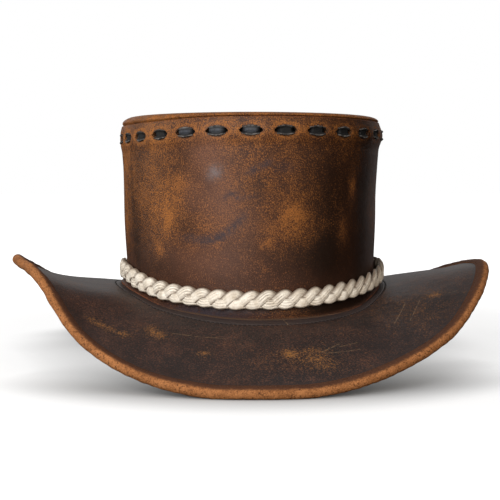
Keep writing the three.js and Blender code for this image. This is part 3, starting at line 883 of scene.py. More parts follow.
def panel_mesh():
    """Wall swept round the crown. Its outline runs from under the flange, round the cove and up the outside,
    over the edge and down the inside; cells at the lace are left open and bridged into real slits."""
    edge = edge_height(crown_angle)
    slope = round_the_hat(brim_sections["inner"], crown_angle)
    turned = np.degrees(crown_angle) % 360
    length = crown_lengths[:, None]
    under_run = row(-PANEL_WALL, FOOT_FLANGE, 5)
    flange_top = brim_top_height(crown_angle, FOOT_FLANGE) + GAP + FOOT_FLANGE_EDGE
    turns = row(0.25, 0, 16) * TURN
    creased = smooth_step(*CREASES_START, turned) * smooth_step(*CREASES_END, turned)
    crease = COVE_CREASE * creased * np.sin(turns * 2) ** 2 * np.sin(length * CREASE_PACE)
    cove_out = FOOT_FLANGE * (1 - np.cos(turns)) - crease
    skived = FLANGE_SKIVE * (cove_out / FOOT_FLANGE) ** 3
    cove_z = flange_top + FOOT_FLANGE * (1 - np.sin(turns)) + slope * cove_out - crease - skived

    wall_top = edge - cove_z[:, -1:]
    deep = wall_top + (DEEP_START - wall_top) * row(0, 1, 40)[:, 1:]
    near = row(DEEP_START, SLIT_LOW, 9)[:, 1:-1]
    shallow = lace_rows(near, row(SLIT_LOW, SLIT_HIGH, SLIT_ROWS + 1), row(SLIT_HIGH, 0.5, 7)[:, 1:])
    below = joined(deep, shallow)

    wave = smooth_step(0, 18, wall_top - below) * wave_share(below) * panel_wave(crown_angle, below)
    seam = SEAM_PRESS * bell(length - around_crown(SEAM_DEGREES), 0.9) * (below > 1)
    shaped = smooth_step(PROFILE_END + 5, PROFILE_END - 3, below)
    out = straight_out(below, wall_top) * (1 - shaped) + panel_out(below, from_stitch) * shaped
    out = out - RIGHT_HOLLOW * np.clip(np.cos(crown_angle), 0, 1) * bell(below - HOLLOW_DEPTH, HOLLOW_HEIGHT)
    rim_turns = row(0, 0.5, 6)[:, 1:-1] * TURN
    rim_out = (out + wave)[:, -1:] - PANEL_EDGE_WALL / 2 * (1 - np.cos(rim_turns))
    under = oval_point(crown_angle, under_run, brim_top_height(crown_angle, under_run) + GAP)
    cove = oval_point(crown_angle, cove_out, cove_z)
    outer = oval_point(crown_angle, out + wave - seam, edge - below)
    rim = oval_point(crown_angle, rim_out, edge - 0.5 + 0.5 * np.sin(rim_turns))
    inner = oval_point(crown_angle, out + wave - panel_wall(below), edge - below)[:, ::-1]
    parts = [under, cove, outer, rim, inner]
    points = np.concatenate(parts, axis=1)

    cove_start, wall_start, wall_end, inner_start, _ = np.cumsum([part.shape[1] for part in parts])
    corner, faces = grid_faces(*points.shape[:2])
    faces = pierce(corner, faces, wall_start + deep.shape[1] + near.shape[1], wall_end - 1 + inner_start)

    outside = on_steps(points, cove_start, inner_start)
    height = points[..., 2]
    lens = np.hypot(from_stitch / (SLIT_LENS_END + 0.4), (below - LACE_DROP) / (SLIT_HALF + 0.7))
    rubbed = LACE_RUB * bell(below - LACE_DROP, 8) + SLIT_RUB * bell(lens - 1.1, 0.2)
    at_lace = on_steps(points, wall_start, wall_end, rubbed)
    # Painted shade under the plait: on the flange, deeper towards the right side turned from the lights, and
    # on the lowest few millimetres of the wall. It goes into the dark mask.
    right_side = 0.35 + 0.65 * smooth_step(262, 295, turned)
    flange_shade_under_plait = right_side * smooth_step(0.85, 0.35, cove_out / FOOT_FLANGE)
    shade_under_plait = on_steps(points, cove_start, wall_start, flange_shade_under_plait)
    shade_under_plait += on_steps(points, wall_start, wall_end, smooth_step(6.0, 2.0, wall_top - below))
    cut_edges = on_steps(points, cove_start - 1, cove_start + 1)
    cut_edges += on_steps(points, wall_end, inner_start, 0.6)
    added = {"worn": at_lace, "dark": UNDER_PLAIT_SHADE * shade_under_plait}
    marks = {
        label: outside * (crown_marks(label, length, height) + added.get(label, 0)) for label in CROWN_MARKS
    }
    return make_mesh("crown_side_worn", points, faces, {
        **marks,
        "raw": cut_edges,
        "low": on_steps(points, 0, wall_end, smooth_step(95, 60, height[:, :wall_end])),
        "inside": 1 - outside,
    })


CROWN_DEEP = (0.038, 0.0145, 0.0075, 1)
CROWN_DYE = (0.095, 0.034, 0.0125, 1)
CROWN_RUBBED = (0.33, 0.118, 0.0235, 1)
CROWN_LOW = (0.070, 0.028, 0.017, 1)
CROWN_DARK_AND_SHADE = (0.011, 0.0042, 0.0018, 1)
BLOOM_AND_SHEEN_DEEP = (0.085, 0.037, 0.023, 1)
BLOOM_AND_SHEEN_PALE = (0.25, 0.112, 0.066, 1)
STAIN_BLUE = (0.026, 0.024, 0.032, 1)
SMUDGE_AND_HIGHLIGHT_GREY = (0.17, 0.15, 0.155, 1)
RAW_EDGE = (0.17, 0.050, 0.021, 1)
FLESH_SIDE = (0.085, 0.050, 0.030, 1)
FLESH_DEEP = (0.047, 0.028, 0.017, 1)


def crown_leather():
    """Waxed brown leather, cloudy and flecked, rubbed orange at its marks, with bluish stains, a pale bloom
    that also carries painted sheen, a grey smudge painted as a highlight, and dark patches that include
    painted shade on the right side and under the plait; darker and redder towards the foot, raw at its cut
    edges, and dull brown inside."""
    nodes = new_material("Crown leather")
    low = nodes.point("low")
    worn = nodes.scaled(low, -0.3, nodes.plus(nodes.point("worn"), 0.16))
    tones = (CROWN_DEEP, nodes.mix(low, CROWN_DYE, CROWN_LOW), CROWN_RUBBED)
    grain, dyed = dyed_hide(nodes, 1300.0, tones, worn, grit=1.85, cloudy=0.85)
    smoke = nodes.ramp(nodes.cloud(3, detail=5.0), 0.2, 0.55)
    broken = nodes.ramp(nodes.cloud(5, detail=5.0), 0.35, 0.6)
    kept = nodes.scaled(dyed["Rubbed"], -0.4, 0.94)
    # Pale wax bloom, which at the front left also stands in for the key light's sheen: painted sheen.
    colour = nodes.shade(dyed["Colour"], nodes.mix(grain["Fleck"], BLOOM_AND_SHEEN_DEEP, BLOOM_AND_SHEEN_PALE), "bloom_and_sheen", 0.8)
    # Dark patches of the leather, and painted shade on the right side and under the plait.
    colour = nodes.shade(colour, CROWN_DARK_AND_SHADE, "dark", kept)
    colour = nodes.shade(colour, STAIN_BLUE, "stain", smoke)
    # Grey smudge with a painted highlight.
    colour = nodes.shade(colour, SMUDGE_AND_HIGHLIGHT_GREY, "smudge_and_highlight", nodes.times(smoke, 0.85))
    colour = nodes.shade(colour, RAW_EDGE, "raw", broken)
    colour = nodes.shade(colour, nodes.mix(grain["Fleck"], FLESH_DEEP, FLESH_SIDE), "inside")
    rough = nodes.scaled(grain["Fleck"], 0.06, nodes.scaled(dyed["Rubbed"], 0.16, 0.46))
    dull = nodes.plus(nodes.point("inside"), nodes.point("raw"))
    creases = nodes.bump(nodes.cloud(10, detail=6.0), 0.7, 0.45)
    return nodes.finish(
        Base_Color=colour,
        Roughness=nodes.scaled(dull, 0.3, rough),
        Specular_IOR_Level=0.19,
        Normal=nodes.bump(grain["Height"], 0.16, 0.8, creases),
    )


crown_finish = crown_leather()
place_piece(panel_mesh(), crown_finish, "crown_side")


# Crown's tip
# An oval of the same leather, wet-moulded over a block: its rim is turned down into a flange that sits inside
# the side panel and is laced to it. The shoulder is rubbed orange and the top is nearly flat.

TIP_WALL = 2
TIP_SHOULDER_HEIGHT = PANEL_EDGE_HEIGHT + 6.1
TIP_SHOULDER_RUN = 5.4
TIP_DOME_RISE = 1.6
TIP_SWELL = 1.3
TIP_PUCKER = 0.35
TIP_TOP_WAVE = 0.55
TIP_TOP_WAVE_SIZE = 55
TIP_RUB = 0.22
# Scuffs on top: x, y, half width, half length, turn, strength
TIP_TOP_SCUFFS = [
    (-30, -20, 26, 16, 20, 0.4),
    (35, 30, 20, 24, -15, 0.4),
    (10, -62, 22, 10, 0, 0.35),
    (-45, 48, 14, 18, 0, 0.35),
]


def tip_mesh():
    """Cap swept round the crown: from the middle of its underside out, down inside the flange, round the hem,
    up the outside past the slits, over the rounded shoulder and back to the middle of the top."""
    edge = edge_height(crown_angle)
    rise = TIP_SHOULDER_HEIGHT - edge
    near = row(TIP_FLANGE_DEPTH, SLIT_LOW, 5)[:, :-1]
    below = lace_rows(near, row(SLIT_LOW, SLIT_HIGH, SLIT_ROWS + 1), row(SLIT_HIGH, 0, 6)[:, 1:])
    wave = EDGE_WAVE_SHARE * panel_wave(crown_angle, below)
    flange_out = panel_out(below, from_stitch) + wave - panel_wall(below) - GAP
    pucker = TIP_PUCKER * smooth_step(6, 0, np.abs(from_stitch))

    turns = row(0, 0.25, 12)[:, 1:] * TURN
    inwards = (1 - np.cos(turns)) ** 1.25
    start = flange_out[:, -1:]
    rising = np.sin(turns)
    swell = TIP_SWELL * smooth_step(0, 0.25, rising) * smooth_step(1, 0.45, rising)
    shoulder_out = start - TIP_SHOULDER_RUN * inwards + swell - pucker * np.sin(2 * turns)
    shoulder_z = edge + rise * rising
    share = row(1, 0, 24)[:, 1:]
    top_x = (CROWN_WIDTH / 2 + shoulder_out[:, -1:]) * share * np.cos(crown_angle)
    top_y = (CROWN_LENGTH / 2 + shoulder_out[:, -1:]) * share * np.sin(crown_angle)
    top_z = shoulder_z[:, -1:] + TIP_DOME_RISE * (1 - share ** 2)
    top = np.stack(np.broadcast_arrays(top_x, top_y, top_z), axis=-1)
    top[..., 2] += TIP_TOP_WAVE * smooth_step(1.0, 0.75, share) * ripple(top, TIP_TOP_WAVE_SIZE, seed=21)
    top[:, -1] = top[0, -1]

    under_top = (top[:, 2::3] - (0, 0, TIP_WALL))[:, ::-1]
    inner_shoulder = oval_point(
        crown_angle,
        start - TIP_WALL - (TIP_SHOULDER_RUN - TIP_WALL) * inwards[:, ::3],
        edge + (rise - TIP_WALL) * rising[:, ::3],
    )[:, ::-1]
    inner = oval_point(crown_angle, flange_out - TIP_WALL, edge - below)[:, ::-1]
    hem_turns = row(0.5, 0, 5)[:, 1:-1] * TURN
    hem_out = flange_out[:, :1] - TIP_WALL / 2 * (1 - np.cos(hem_turns))
    hem = oval_point(crown_angle, hem_out, edge - TIP_FLANGE_DEPTH - 0.4 * np.sin(hem_turns))
    outer = oval_point(crown_angle, flange_out, edge - below)
    shoulder = oval_point(crown_angle, shoulder_out, shoulder_z)
    parts = [under_top, inner_shoulder, inner, hem, outer, shoulder, top]
    points = np.concatenate(parts, axis=1)

    ends = np.cumsum([part.shape[1] for part in parts])
    hem_start, outer_start, shoulder_start, top_start = ends[2:6]
    corner, faces = grid_faces(*points.shape[:2], open_section=True)
    faces = pierce(corner, faces, outer_start + near.shape[1], outer_start + hem_start - 1)

    outside = on_steps(points, outer_start, None)
    rubbed = on_steps(points, shoulder_start, top_start, TIP_RUB)
    rubbed += on_steps(points, top_start, None, TIP_RUB * smooth_step(0.86, 1.0, share))
    scuffed = marks_at(TIP_TOP_SCUFFS, points[..., 0], points[..., 1])
    return make_mesh("crown_tip_worn", points, faces, {
        "worn": outside * (0.06 + rubbed + scuffed),
        "inside": 1 - outside,
        **dict.fromkeys(("stain", "dark", "bloom_and_sheen", "smudge_and_highlight", "raw", "low"), 0.0),
    })


place_piece(tip_mesh(), crown_finish, "crown_tip")


# Lace
# A flat black leather strip in a running stitch through both layers of the crown. Drawn tight, each stitch
# rolls its two edges up into lips and dives into its slits with narrow ends.

LACE_THICKNESS = 0.9
LACE_INSIDE = -(PANEL_WALL + GAP + TIP_WALL + GAP + LACE_THICKNESS / 2)
LACE_OUTSIDE = 0.1
STITCH_STEPS = 40
LACE_SECTION = 16
LACE_CLEARANCE = 0.15
LACE_LIP = 0.6
UPPER_LIP_SHARE = 0.75
LACE_GROOVE = 1.3
LACE_DOME = 0.5
LACE_INSIDE_HALF = 3.0
# Stitches whose middle is domed and glossy, counted from the front stitch; the others have a dark groove
DOMED_STITCHES = [0, 26, 27, 9, 14, 20]
LACE_OVAL = 0.6
LIP_PLACE = 0.82
LIP_WIDTH = 0.14
LACE_GROOVE_PLACE = 0.1
LACE_GROOVE_WIDTH = 0.5
LACE_DOME_WIDTH = 0.4
DIVE_START = 3.4
DIVE_END = 6.6


def directions_along(line):
    """Unit directions at the points of a closed line, each from the point before to the point after."""
    return unit(np.roll(line, -1, axis=0) - np.roll(line, 1, axis=0))


def flat_oval(turns, power):
    """Height of a flattened round section at its turns: the size of the sine raised to a power, signed."""
    return np.sign(np.sin(turns)) * np.abs(np.sin(turns)) ** power


def swept(line, side, face, across, thick):
    """Points of a section carried along a line: its width lies along side and its thickness along face."""
    return line[:, None] + side[:, None] * across[..., None] + face[:, None] * thick[..., None]


def lace_mesh():
    """Strip carried round the crown, outside over each stitch and inside between them. Its section is a flat
    loop whose outer face has a lip near each side and a groove or a dome in the middle."""
    length = np.arange(STITCH_COUNT * STITCH_STEPS) * STITCH_PITCH / STITCH_STEPS
    offset = offset_at(length)
    stitch = np.round(length / STITCH_PITCH).astype(int) % STITCH_COUNT
    away = np.abs(offset)[:, None]
    dive = smooth_step(DIVE_START, DIVE_END, away)
    out = LACE_OUTSIDE + (LACE_INSIDE - LACE_OUTSIDE) * dive[:, 0]
    angle = angle_at(length)
    spine = oval_point(angle, CROWN_FLARE + LACE_LEAN * np.cos(angle) + out, edge_height(angle) - LACE_DROP)
    up = np.array([[0.0, 0.0, 1.0]])
    face = unit(np.cross(directions_along(spine), up))
    hidden = smooth_step(7.4, 9.5, away)
    shown_half = slit_half_height(offset)[:, None] - LACE_CLEARANCE
    half_width = shown_half * (1 - hidden) + LACE_INSIDE_HALF * hidden
    domed = np.isin(stitch, DOMED_STITCHES)[:, None]
    turns = even_turns(LACE_SECTION, 0.5)[None, :]
    across = np.cos(turns)
    aside = np.abs(across)
    outwards = flat_oval(turns, LACE_OVAL)
    late = smooth_step(5.2, 8.0, away) - dive
    raised = (LACE_INSIDE - LACE_OUTSIDE) * late * smooth_step(0.45, 0.75, aside)
    upper = np.where(across > 0, UPPER_LIP_SHARE, 1)
    lip = LACE_LIP * upper * bell(aside - LIP_PLACE, LIP_WIDTH)
    from_groove = across - LACE_GROOVE_PLACE
    middle = np.where(domed, LACE_DOME, -LACE_GROOVE) * np.exp(-(from_groove / LACE_GROOVE_WIDTH) ** 4)
    thick = LACE_THICKNESS / 2 * outwards + (1 - dive) * (outwards > 0) * (lip + middle) + raised
    points = swept(spine, up, face, half_width * across, thick)
    _, faces = grid_faces(*points.shape[:2])
    visible = smooth_step(8.2, 6.5, away) * (outwards > 0)
    dome = np.exp(-(from_groove / LACE_DOME_WIDTH) ** 4) * smooth_step(5.2, 2.2, away)
    return make_mesh("crown_lace_strip", points, faces[..., ::-1], {
        # Grey lips are wear and painted highlight, less on the upper lip; the domes take a painted bluish
        # sheen.
        "lip": visible * upper * bell(aside - LIP_PLACE - 0.02, LIP_WIDTH),
        "dome": visible * domed * dome,
    })


LACE_BLACK = (0.0035, 0.0035, 0.004, 1)
LACE_SHEEN = (0.040, 0.045, 0.058, 1)
LACE_LIP_WEAR_AND_HIGHLIGHT = (0.19, 0.17, 0.155, 1)


def lace_leather():
    """Black waxed leather with fine lengthways creases; grey along its lips as wear and painted highlight,
    less on the upper lip, with a painted bluish sheen on its domes.
    """
    nodes = new_material("Lace leather")
    patchy = nodes.ramp(nodes.cloud(1.6), 0.3, 0.7)
    colour = nodes.shade(LACE_BLACK, LACE_SHEEN, "dome", nodes.scaled(patchy, 0.75, 0.25))
    rough = nodes.scaled(nodes.point("dome"), -0.25, 0.62)
    return nodes.finish(
        Base_Color=nodes.shade(colour, LACE_LIP_WEAR_AND_HIGHLIGHT, "lip", patchy),
        Roughness=nodes.scaled(patchy, 0.15, rough),
        Specular_IOR_Level=0.3,
        Normal=nodes.bump(nodes.cloud(0.8), 0.25, 0.7),
    )


place_piece(lace_mesh(), lace_leather(), "crown_lace")


# Binding
# A strip of rough tan leather folded over the brim's edge and sewn through near its inner edges, so that it
# puffs up into a rounded roll. It is pressed flat where the hat rests.

BINDING_RING = 720
BINDING_STITCHES = 310
BINDING_SEAM_IN = 1.3
BINDING_SEAM_WIDTH = 0.55
BINDING_SEAM_PRESS = 0.2
BINDING_EDGE = 0.45
BINDING_LUMPS = 0.06
BINDING_NAP = 0.04


def binding_mesh():
    """Folded strip swept round the edge: along the lower arm, round the fold and back along the upper arm,
    then back inside it. Both arms thin towards their edges, and the seam pulls small dents."""
    angle = even_turns(BINDING_RING)[:, None]
    lining = BRIM_THICKNESS / 2 + GAP / 2
    arm = row(-BINDING_ARM, 0, 9)[:, :-1]
    edge = lining + BINDING_EDGE
    puff = edge + (BINDING_HALF - edge) * smooth_step(-BINDING_ARM, -1.2, arm)
    seam = bell(arm + BINDING_ARM - BINDING_SEAM_IN, BINDING_SEAM_WIDTH)
    pull = 0.6 + 0.4 * np.cos(angle * BINDING_STITCHES)
    arm_lift = puff - BINDING_SEAM_PRESS * seam * pull
    turns = row(-0.25, 0.25, 13) * TURN
    lining_turns = row(0.25, -0.25, 5) * TURN
    end = np.array([[-BINDING_ARM]])
    inner = joined(end, lining * np.cos(lining_turns), end)
    inner_lift = joined(np.array([[lining]]), lining * np.sin(lining_turns), np.array([[-lining]]))
    outer = joined(arm, BINDING_HALF * np.cos(turns), arm[:, ::-1])
    outer_lift = joined(-arm_lift, BINDING_HALF * np.sin(turns), arm_lift[:, ::-1])
    along = joined(outer, inner) + 0 * angle
    middle = brim_point(angle, 1 + 0 * along, 0)
    rough = 1 + BINDING_LUMPS * ripple(middle, 14, seed=31) + BINDING_NAP * ripple(middle, 5, seed=32)
    on_outer = on_steps(along, 0, outer.shape[1])
    lift = joined(outer_lift, inner_lift) * np.where(on_outer > 0, rough, 1)
    share = 1 + np.minimum(along, 0) / brim_reach(angle)
    points = brim_point(angle, share, lift, np.maximum(along, 0) * rough)
    points[..., 2] = np.maximum(points[..., 2], 0)
    _, faces = grid_faces(*points.shape[:2])
    margin = smooth_step(0.7, -4.6, along - lift) * on_outer
    return make_mesh("brim_binding_rough", points, faces, {"margin": margin})


BINDING_DEEP = (0.080, 0.030, 0.011, 1)
BINDING_TAN = (0.17, 0.063, 0.020, 1)
BINDING_PALE = (0.375, 0.155, 0.055, 1)
BINDING_MARGIN = (0.070, 0.028, 0.014, 1)


def binding_leather():
    """Rough tan split leather, cloudy and speckled dark, with a dark ragged margin towards its seam."""
    nodes = new_material("Binding leather")
    grain = nodes.add("Group", {"Pebbles": 1300.0}, node_tree=leather_grain)
    clouds = nodes.scaled(nodes.cloud(7, detail=6.0, roughness=0.65), 1.5, -0.72)
    colour = nodes.mix(nodes.ramp(nodes.plus(grain["Fleck"], clouds), 0.0, 1.0), BINDING_TAN, BINDING_PALE)
    specks = nodes.ramp(nodes.cloud(1.5, roughness=0.7), 0.52, 0.66)
    colour = nodes.mix(specks, colour, BINDING_DEEP)
    ragged = nodes.scaled(nodes.cloud(2.5), 0.8, -0.4)
    margin = nodes.ramp(nodes.plus(nodes.point("margin"), ragged), 0.25, 1.0)
    nap = nodes.bump(nodes.cloud(2.5, detail=6.0, roughness=0.7), 0.5, 0.7)
    return nodes.finish(
        Base_Color=nodes.mix(margin, colour, BINDING_MARGIN),
        Roughness=0.8,
        Specular_IOR_Level=0.14,
        Normal=nodes.bump(grain["Height"], 0.3, 0.9, nap),
    )


place_piece(binding_mesh(), binding_leather(), "brim_binding")


# Seams
# Waxed brown thread: one row holds the crown's flange to the brim in the pressed groove, one row holds the
# binding, and two rows run up the crown's back beside the joint of the side panel.

FOOT_STITCHES = 212
THREAD_LENGTH = 2.2
THREAD_RADIUS = 0.3
THREAD_SIDES = 6
THREAD_STEPS = 6
THREAD_SINK = 1.1
BACK_SEAM_ROWS = (-3.2, 3.2)
BACK_SEAM_PITCH = 3.6
BACK_SEAM_TOP = 22
BACK_SEAM_FOOT = 92
BACK_SEAM_STAND = 0.1


def thread_mesh(name, middles, along, face):
    """Many short stitches in one mesh: each is a round bar along its seam that sinks into the leather at both
    ends. Middles, directions along the seam and outward faces are rows of vectors."""
    along = unit(along)
    side = unit(np.cross(face, along))
    face = np.cross(along, side)
    place = np.linspace(-1, 1, THREAD_STEPS)
    radius = THREAD_RADIUS * np.sqrt(np.clip(1.04 - place ** 4, 0.05, 1))
    sink = -THREAD_RADIUS * THREAD_SINK * place ** 4
    turns = even_turns(THREAD_SIDES)[:, None]
    spine = middles[:, None] + along[:, None] * (place * THREAD_LENGTH / 2)[:, None]
    spine = spine + face[:, None] * sink[:, None]
    rim = side[:, None, None] * np.cos(turns) + face[:, None, None] * np.sin(turns)
    points = spine[:, :, None] + rim * radius[:, None, None]
    corner = np.arange(points[..., 0].size).reshape(points.shape[:3])
    after = np.roll(corner, -1, axis=2)
    sides = np.stack([corner[:, :-1], after[:, :-1], after[:, 1:], corner[:, 1:]], axis=-1)
    fans = range(1, THREAD_SIDES - 1, 2)
    caps = [corner[:, 0, [0, (first + 2) % THREAD_SIDES, first + 1, first]] for first in reversed(fans)]
    caps += [corner[:, -1, [0, first, first + 1, (first + 2) % THREAD_SIDES]] for first in fans]
    return make_mesh(name, points, np.concatenate([sides.reshape(-1, 4), *caps]))


def seam_round(count, path):
    """Middles, directions and faces of stitches evenly spaced by angle along a path round the hat, which also
    gives the points lifted above it."""
    angle = even_turns(count, 0.5)
    step = 0.004
    middles = path(angle)
    return middles, path(angle + step) - path(angle - step), path(angle, 1.0) - middles


def foot_seam(angle, lift=0.0):
    share = groove_run(angle) / brim_reach(angle)
    return brim_point(angle, share, BRIM_THICKNESS / 2 - GROOVE_DEPTH * 0.9 + THREAD_RADIUS * 0.5 + lift)


def binding_seam(angle, lift=0.0):
    share = 1 - (BINDING_ARM - BINDING_SEAM_IN) / brim_reach(angle)
    return brim_point(angle, share, BRIM_THICKNESS / 2 + 0.85 + lift)


def panel_face_out(below, angle):
    """How far the crown's face stands out at a depth below its edge, at an angle away from the slits."""
    wall_top = edge_height(angle) - brim_top_height(angle, FOOT_FLANGE) - GAP - FOOT_FLANGE_EDGE - FOOT_FLANGE
    shape = CROWN_FLARE * np.interp(below, PANEL_DEPTHS, PANEL_OUTS)
    return np.where(below > PROFILE_END, straight_out(below, wall_top), shape)


def back_seam():
    """Rows of upright stitches at both sides of the panel's joint, from below the lace to above the plait."""
    below = np.arange(BACK_SEAM_TOP, BACK_SEAM_FOOT, BACK_SEAM_PITCH)
    rows = []
    for shift in BACK_SEAM_ROWS:
        angle = angle_at(around_crown(SEAM_DEGREES) + shift)
        out = panel_face_out(below, angle) + wave_share(below) * panel_wave(angle, below) + BACK_SEAM_STAND
        rows.append(oval_point(angle, out, edge_height(angle) - below))
    middles = np.concatenate(rows)
    along, face = (np.broadcast_to(direction, middles.shape) for direction in ([0.0, 0, 1], [0.0, 1, 0]))
    return middles, along, face


THREAD_BROWN = (0.008, 0.006, 0.005, 1)
THREAD_TAN = (0.035, 0.016, 0.009, 1)
THREAD_WEAR = 2.2


def thread(name, tone):
    """Waxed thread with a fine twist."""
    nodes = new_material(name)
    worn = tuple(THREAD_WEAR * part for part in tone[:3]) + (1,)
    return nodes.finish(
        Base_Color=nodes.mix(nodes.ramp(nodes.cloud(0.7), 0.3, 0.7), tone, worn),
        Roughness=0.8,
        Specular_IOR_Level=0.2,
        Normal=nodes.bump(nodes.cloud(0.4), 0.08, 0.8),
    )


dark_thread = thread("Dark thread", THREAD_BROWN)
tan_thread = thread("Tan thread", THREAD_TAN)
foot_stitches = thread_mesh("foot_stitches", *seam_round(FOOT_STITCHES, foot_seam))
binding_stitches = thread_mesh("binding_stitches", *seam_round(BINDING_STITCHES, binding_seam))
place_piece(foot_stitches, dark_thread)
place_piece(binding_stitches, tan_thread)
place_piece(thread_mesh("back_stitches", *back_seam()), dark_thread)


# Plaited band
# Three bundles of undyed cotton cords, each a few cords wide, plaited flat into a closed ring that sits snug
# round the crown's foot. It is held by its own tension and sags to the front.

BAND_THICKNESS = 4.6
BAND_FRONT_HEIGHT = 49
BAND_LIFT = 14.8
BAND_SLACK = 2.2
PLAIT_PERIODS = 18
STRANDS = 3
STRAND_HALF_WIDTH = 3.45
STRAND_HALF_THICKNESS = 1.25
STRAND_SWING = 2.45
STRAND_WEAVE = BAND_THICKNESS / 2 - STRAND_HALF_THICKNESS
CROSSING_DROP = 2.5
STRAND_BULGE = 1.25
STRAND_OVAL = 0.8
SWING_UNEVEN = 0.06
WIDTH_UNEVEN = 0.05
STRAND_STEPS = 620
STRAND_SECTION = 44
CORD_GROOVES = (-0.52, 0.02, 0.5)
CORD_GROOVE_WIDTH = 0.13
CORD_GROOVE_DEPTH = 0.32
CORD_DRIFT = 0.10
UNEVEN_PLACES = 60
# Height of the band's middle at each section, as a share of BAND_LIFT
BAND_SHARES = [
    0.86, 0.76, 0.56, 0.35, 0.20, 0.08, 0.04, 0.08, 0.20, 0.40, 0.62, 0.80,
    0.88, 0.82, 0.53, 0.24, 0.10, 0.00, 0.00, 0.04, 0.16, 0.33, 0.54, 0.74,
]


def band_spine(angle):
    """Middle line of the band, a little slack at the right, and the outward direction of the crown's wall."""
    middle = BAND_FRONT_HEIGHT + BAND_LIFT * round_the_hat(BAND_SHARES, angle)
    foot = FOOT_HEIGHT + FOOT_LIFT * round_the_hat(brim_sections["foot"], angle)
    wall_share = (middle - foot) / (edge_height(angle) - PROFILE_END - foot)
    out = wall_share * PANEL_OUTS[-1] * CROWN_FLARE + GAP + BAND_THICKNESS / 2
    out = out + BAND_SLACK * np.clip(np.cos(angle), 0, 1) ** 3
    outward = np.stack([np.cos(angle) / CROWN_WIDTH, np.sin(angle) / CROWN_LENGTH, 0 * angle], axis=-1)
    return oval_point(angle, out, middle), unit(outward)


def strand_grid(number):
    """One strand of the plait: its points, how deep in a groove and how far across they lie, and how much
    painted shade they take where they pass under a neighbour and at their sides.
    Its middle swings up and down as a sine and in and out as a sine of twice the pace, a third of a period
    behind its neighbour; its section is a flat oval grooved between its cords."""
    angle = even_turns(STRAND_STEPS)
    spine, outward = band_spine(angle)
    phase = PLAIT_PERIODS * angle + TURN * number / STRANDS
    drawn = np.append(np.random.default_rng(40 + number).normal(size=UNEVEN_PLACES), 0)
    places = np.linspace(0, STRAND_STEPS, UNEVEN_PLACES + 1)
    uneven = SWING_UNEVEN * np.interp(np.arange(STRAND_STEPS), places, drawn, period=STRAND_STEPS)
    swing = np.sin(phase)
    middle = spine + outward * (STRAND_WEAVE * np.sin(2 * phase))[:, None]
    middle[:, 2] += STRAND_SWING * swing * (1 + uneven) - CROSSING_DROP * (1 - swing ** 2)
    along = directions_along(middle)
    side = unit(np.cross(outward, along))
    face = np.cross(along, side)
    turns = even_turns(STRAND_SECTION)
    across = np.cos(turns)[None, :]
    outwards = flat_oval(turns, STRAND_OVAL)
    drift = CORD_DRIFT * ripple(middle, 22, seed=50 + number)[:, None]
    depth = 0.6 + 0.4 * ripple(middle, 9, seed=60 + number)[:, None]
    groove = sum(bell(across - place - drift, CORD_GROOVE_WIDTH) for place in CORD_GROOVES)
    bulge = np.where(outwards > 0, STRAND_BULGE, 1) * outwards
    thick = STRAND_HALF_THICKNESS * bulge * (1 - CORD_GROOVE_DEPTH * groove * np.clip(depth, 0.1, 1))
    width = STRAND_HALF_WIDTH * (1 + WIDTH_UNEVEN * ripple(middle, 12, seed=70 + number))[:, None]
    points = swept(middle, side, face, width * across, thick)
    # Painted shade: where the strand passes under its neighbours and towards its sides.
    passing_under = smooth_step(-0.2, -1.0, np.sin(2 * phase))[:, None]
    sunk_shade = np.clip(0.8 * passing_under + smooth_step(0.5, 1.0, np.abs(across)), 0, 1)
    return points, groove * np.clip(depth, 0, 1), across * outwards + 0 * thick, sunk_shade


def plait_mesh():
    """The three strands in one mesh, each value joined in the order of the strands."""
    grids = zip(*[strand_grid(number) for number in range(STRANDS)])
    points, groove, across, sunk_shade = (np.concatenate(parts) for parts in grids)
    _, faces = grid_faces(STRAND_STEPS, STRAND_SECTION)
    shift = np.arange(STRANDS)[:, None] * STRAND_STEPS * STRAND_SECTION
    faces = (faces.reshape(-1) + shift).reshape(-1, 4)
    values = {"groove": groove, "across": across, "sunk_shade": sunk_shade}
    return make_mesh("plait_strands", points, faces[:, ::-1], values)


CORD_CREAM = (0.88, 0.82, 0.72, 1)
CORD_SHADE = (0.42, 0.33, 0.23, 1)
CORD_SOIL_AND_SHADE = (0.10, 0.062, 0.034, 1)


def cotton_cord():
    """Undyed cotton with fine lengthways fibres and soft patches of soil, brown in its grooves from soil and
    painted shade, and darkened with painted shade where it passes under its neighbours and at its sides.
    """
    nodes = new_material("Cotton cord")
    patches = nodes.ramp(nodes.cloud(6, detail=5.0), 0.32, 0.7)
    colour = nodes.mix(nodes.times(patches, 0.55), CORD_CREAM, CORD_SHADE)
    across = nodes.add("CombineXYZ", {"X": nodes.point("across"), "Y": nodes.cloud(9), "Z": 0.0})[0]
    strip = {"Vector": across, "Scale": 16.0, "Detail": 4.0, "Roughness": 0.7}
    fibres = nodes.times(nodes.add("TexNoise", strip)[0], 0.5)
    fine = nodes.scaled(nodes.cloud(0.7), 0.5, fibres)
    colour = nodes.mix(nodes.times(nodes.ramp(fine, 0.42, 0.62), 0.35), colour, CORD_SHADE)
    # Grooves between the cords: soil and painted shade together.
    groove_soil_and_shade = nodes.times(nodes.ramp(nodes.point("groove"), 0.3, 1.1), 0.75)
    colour = nodes.mix(groove_soil_and_shade, colour, CORD_SOIL_AND_SHADE)
    return nodes.finish(
        Base_Color=nodes.shade(colour, CORD_SOIL_AND_SHADE, "sunk_shade", 0.9),
        Roughness=0.6,
        Normal=nodes.bump(fine, 0.25, 0.8),
    )


place_piece(plait_mesh(), cotton_cord(), "hat_band")


# Floor, light and camera
# A plain white floor under a pale sky. One large soft light stands at the front left, a wide warm one at the
# front right, one at the left and two dim ones behind. The camera stands low, a little left of the front.

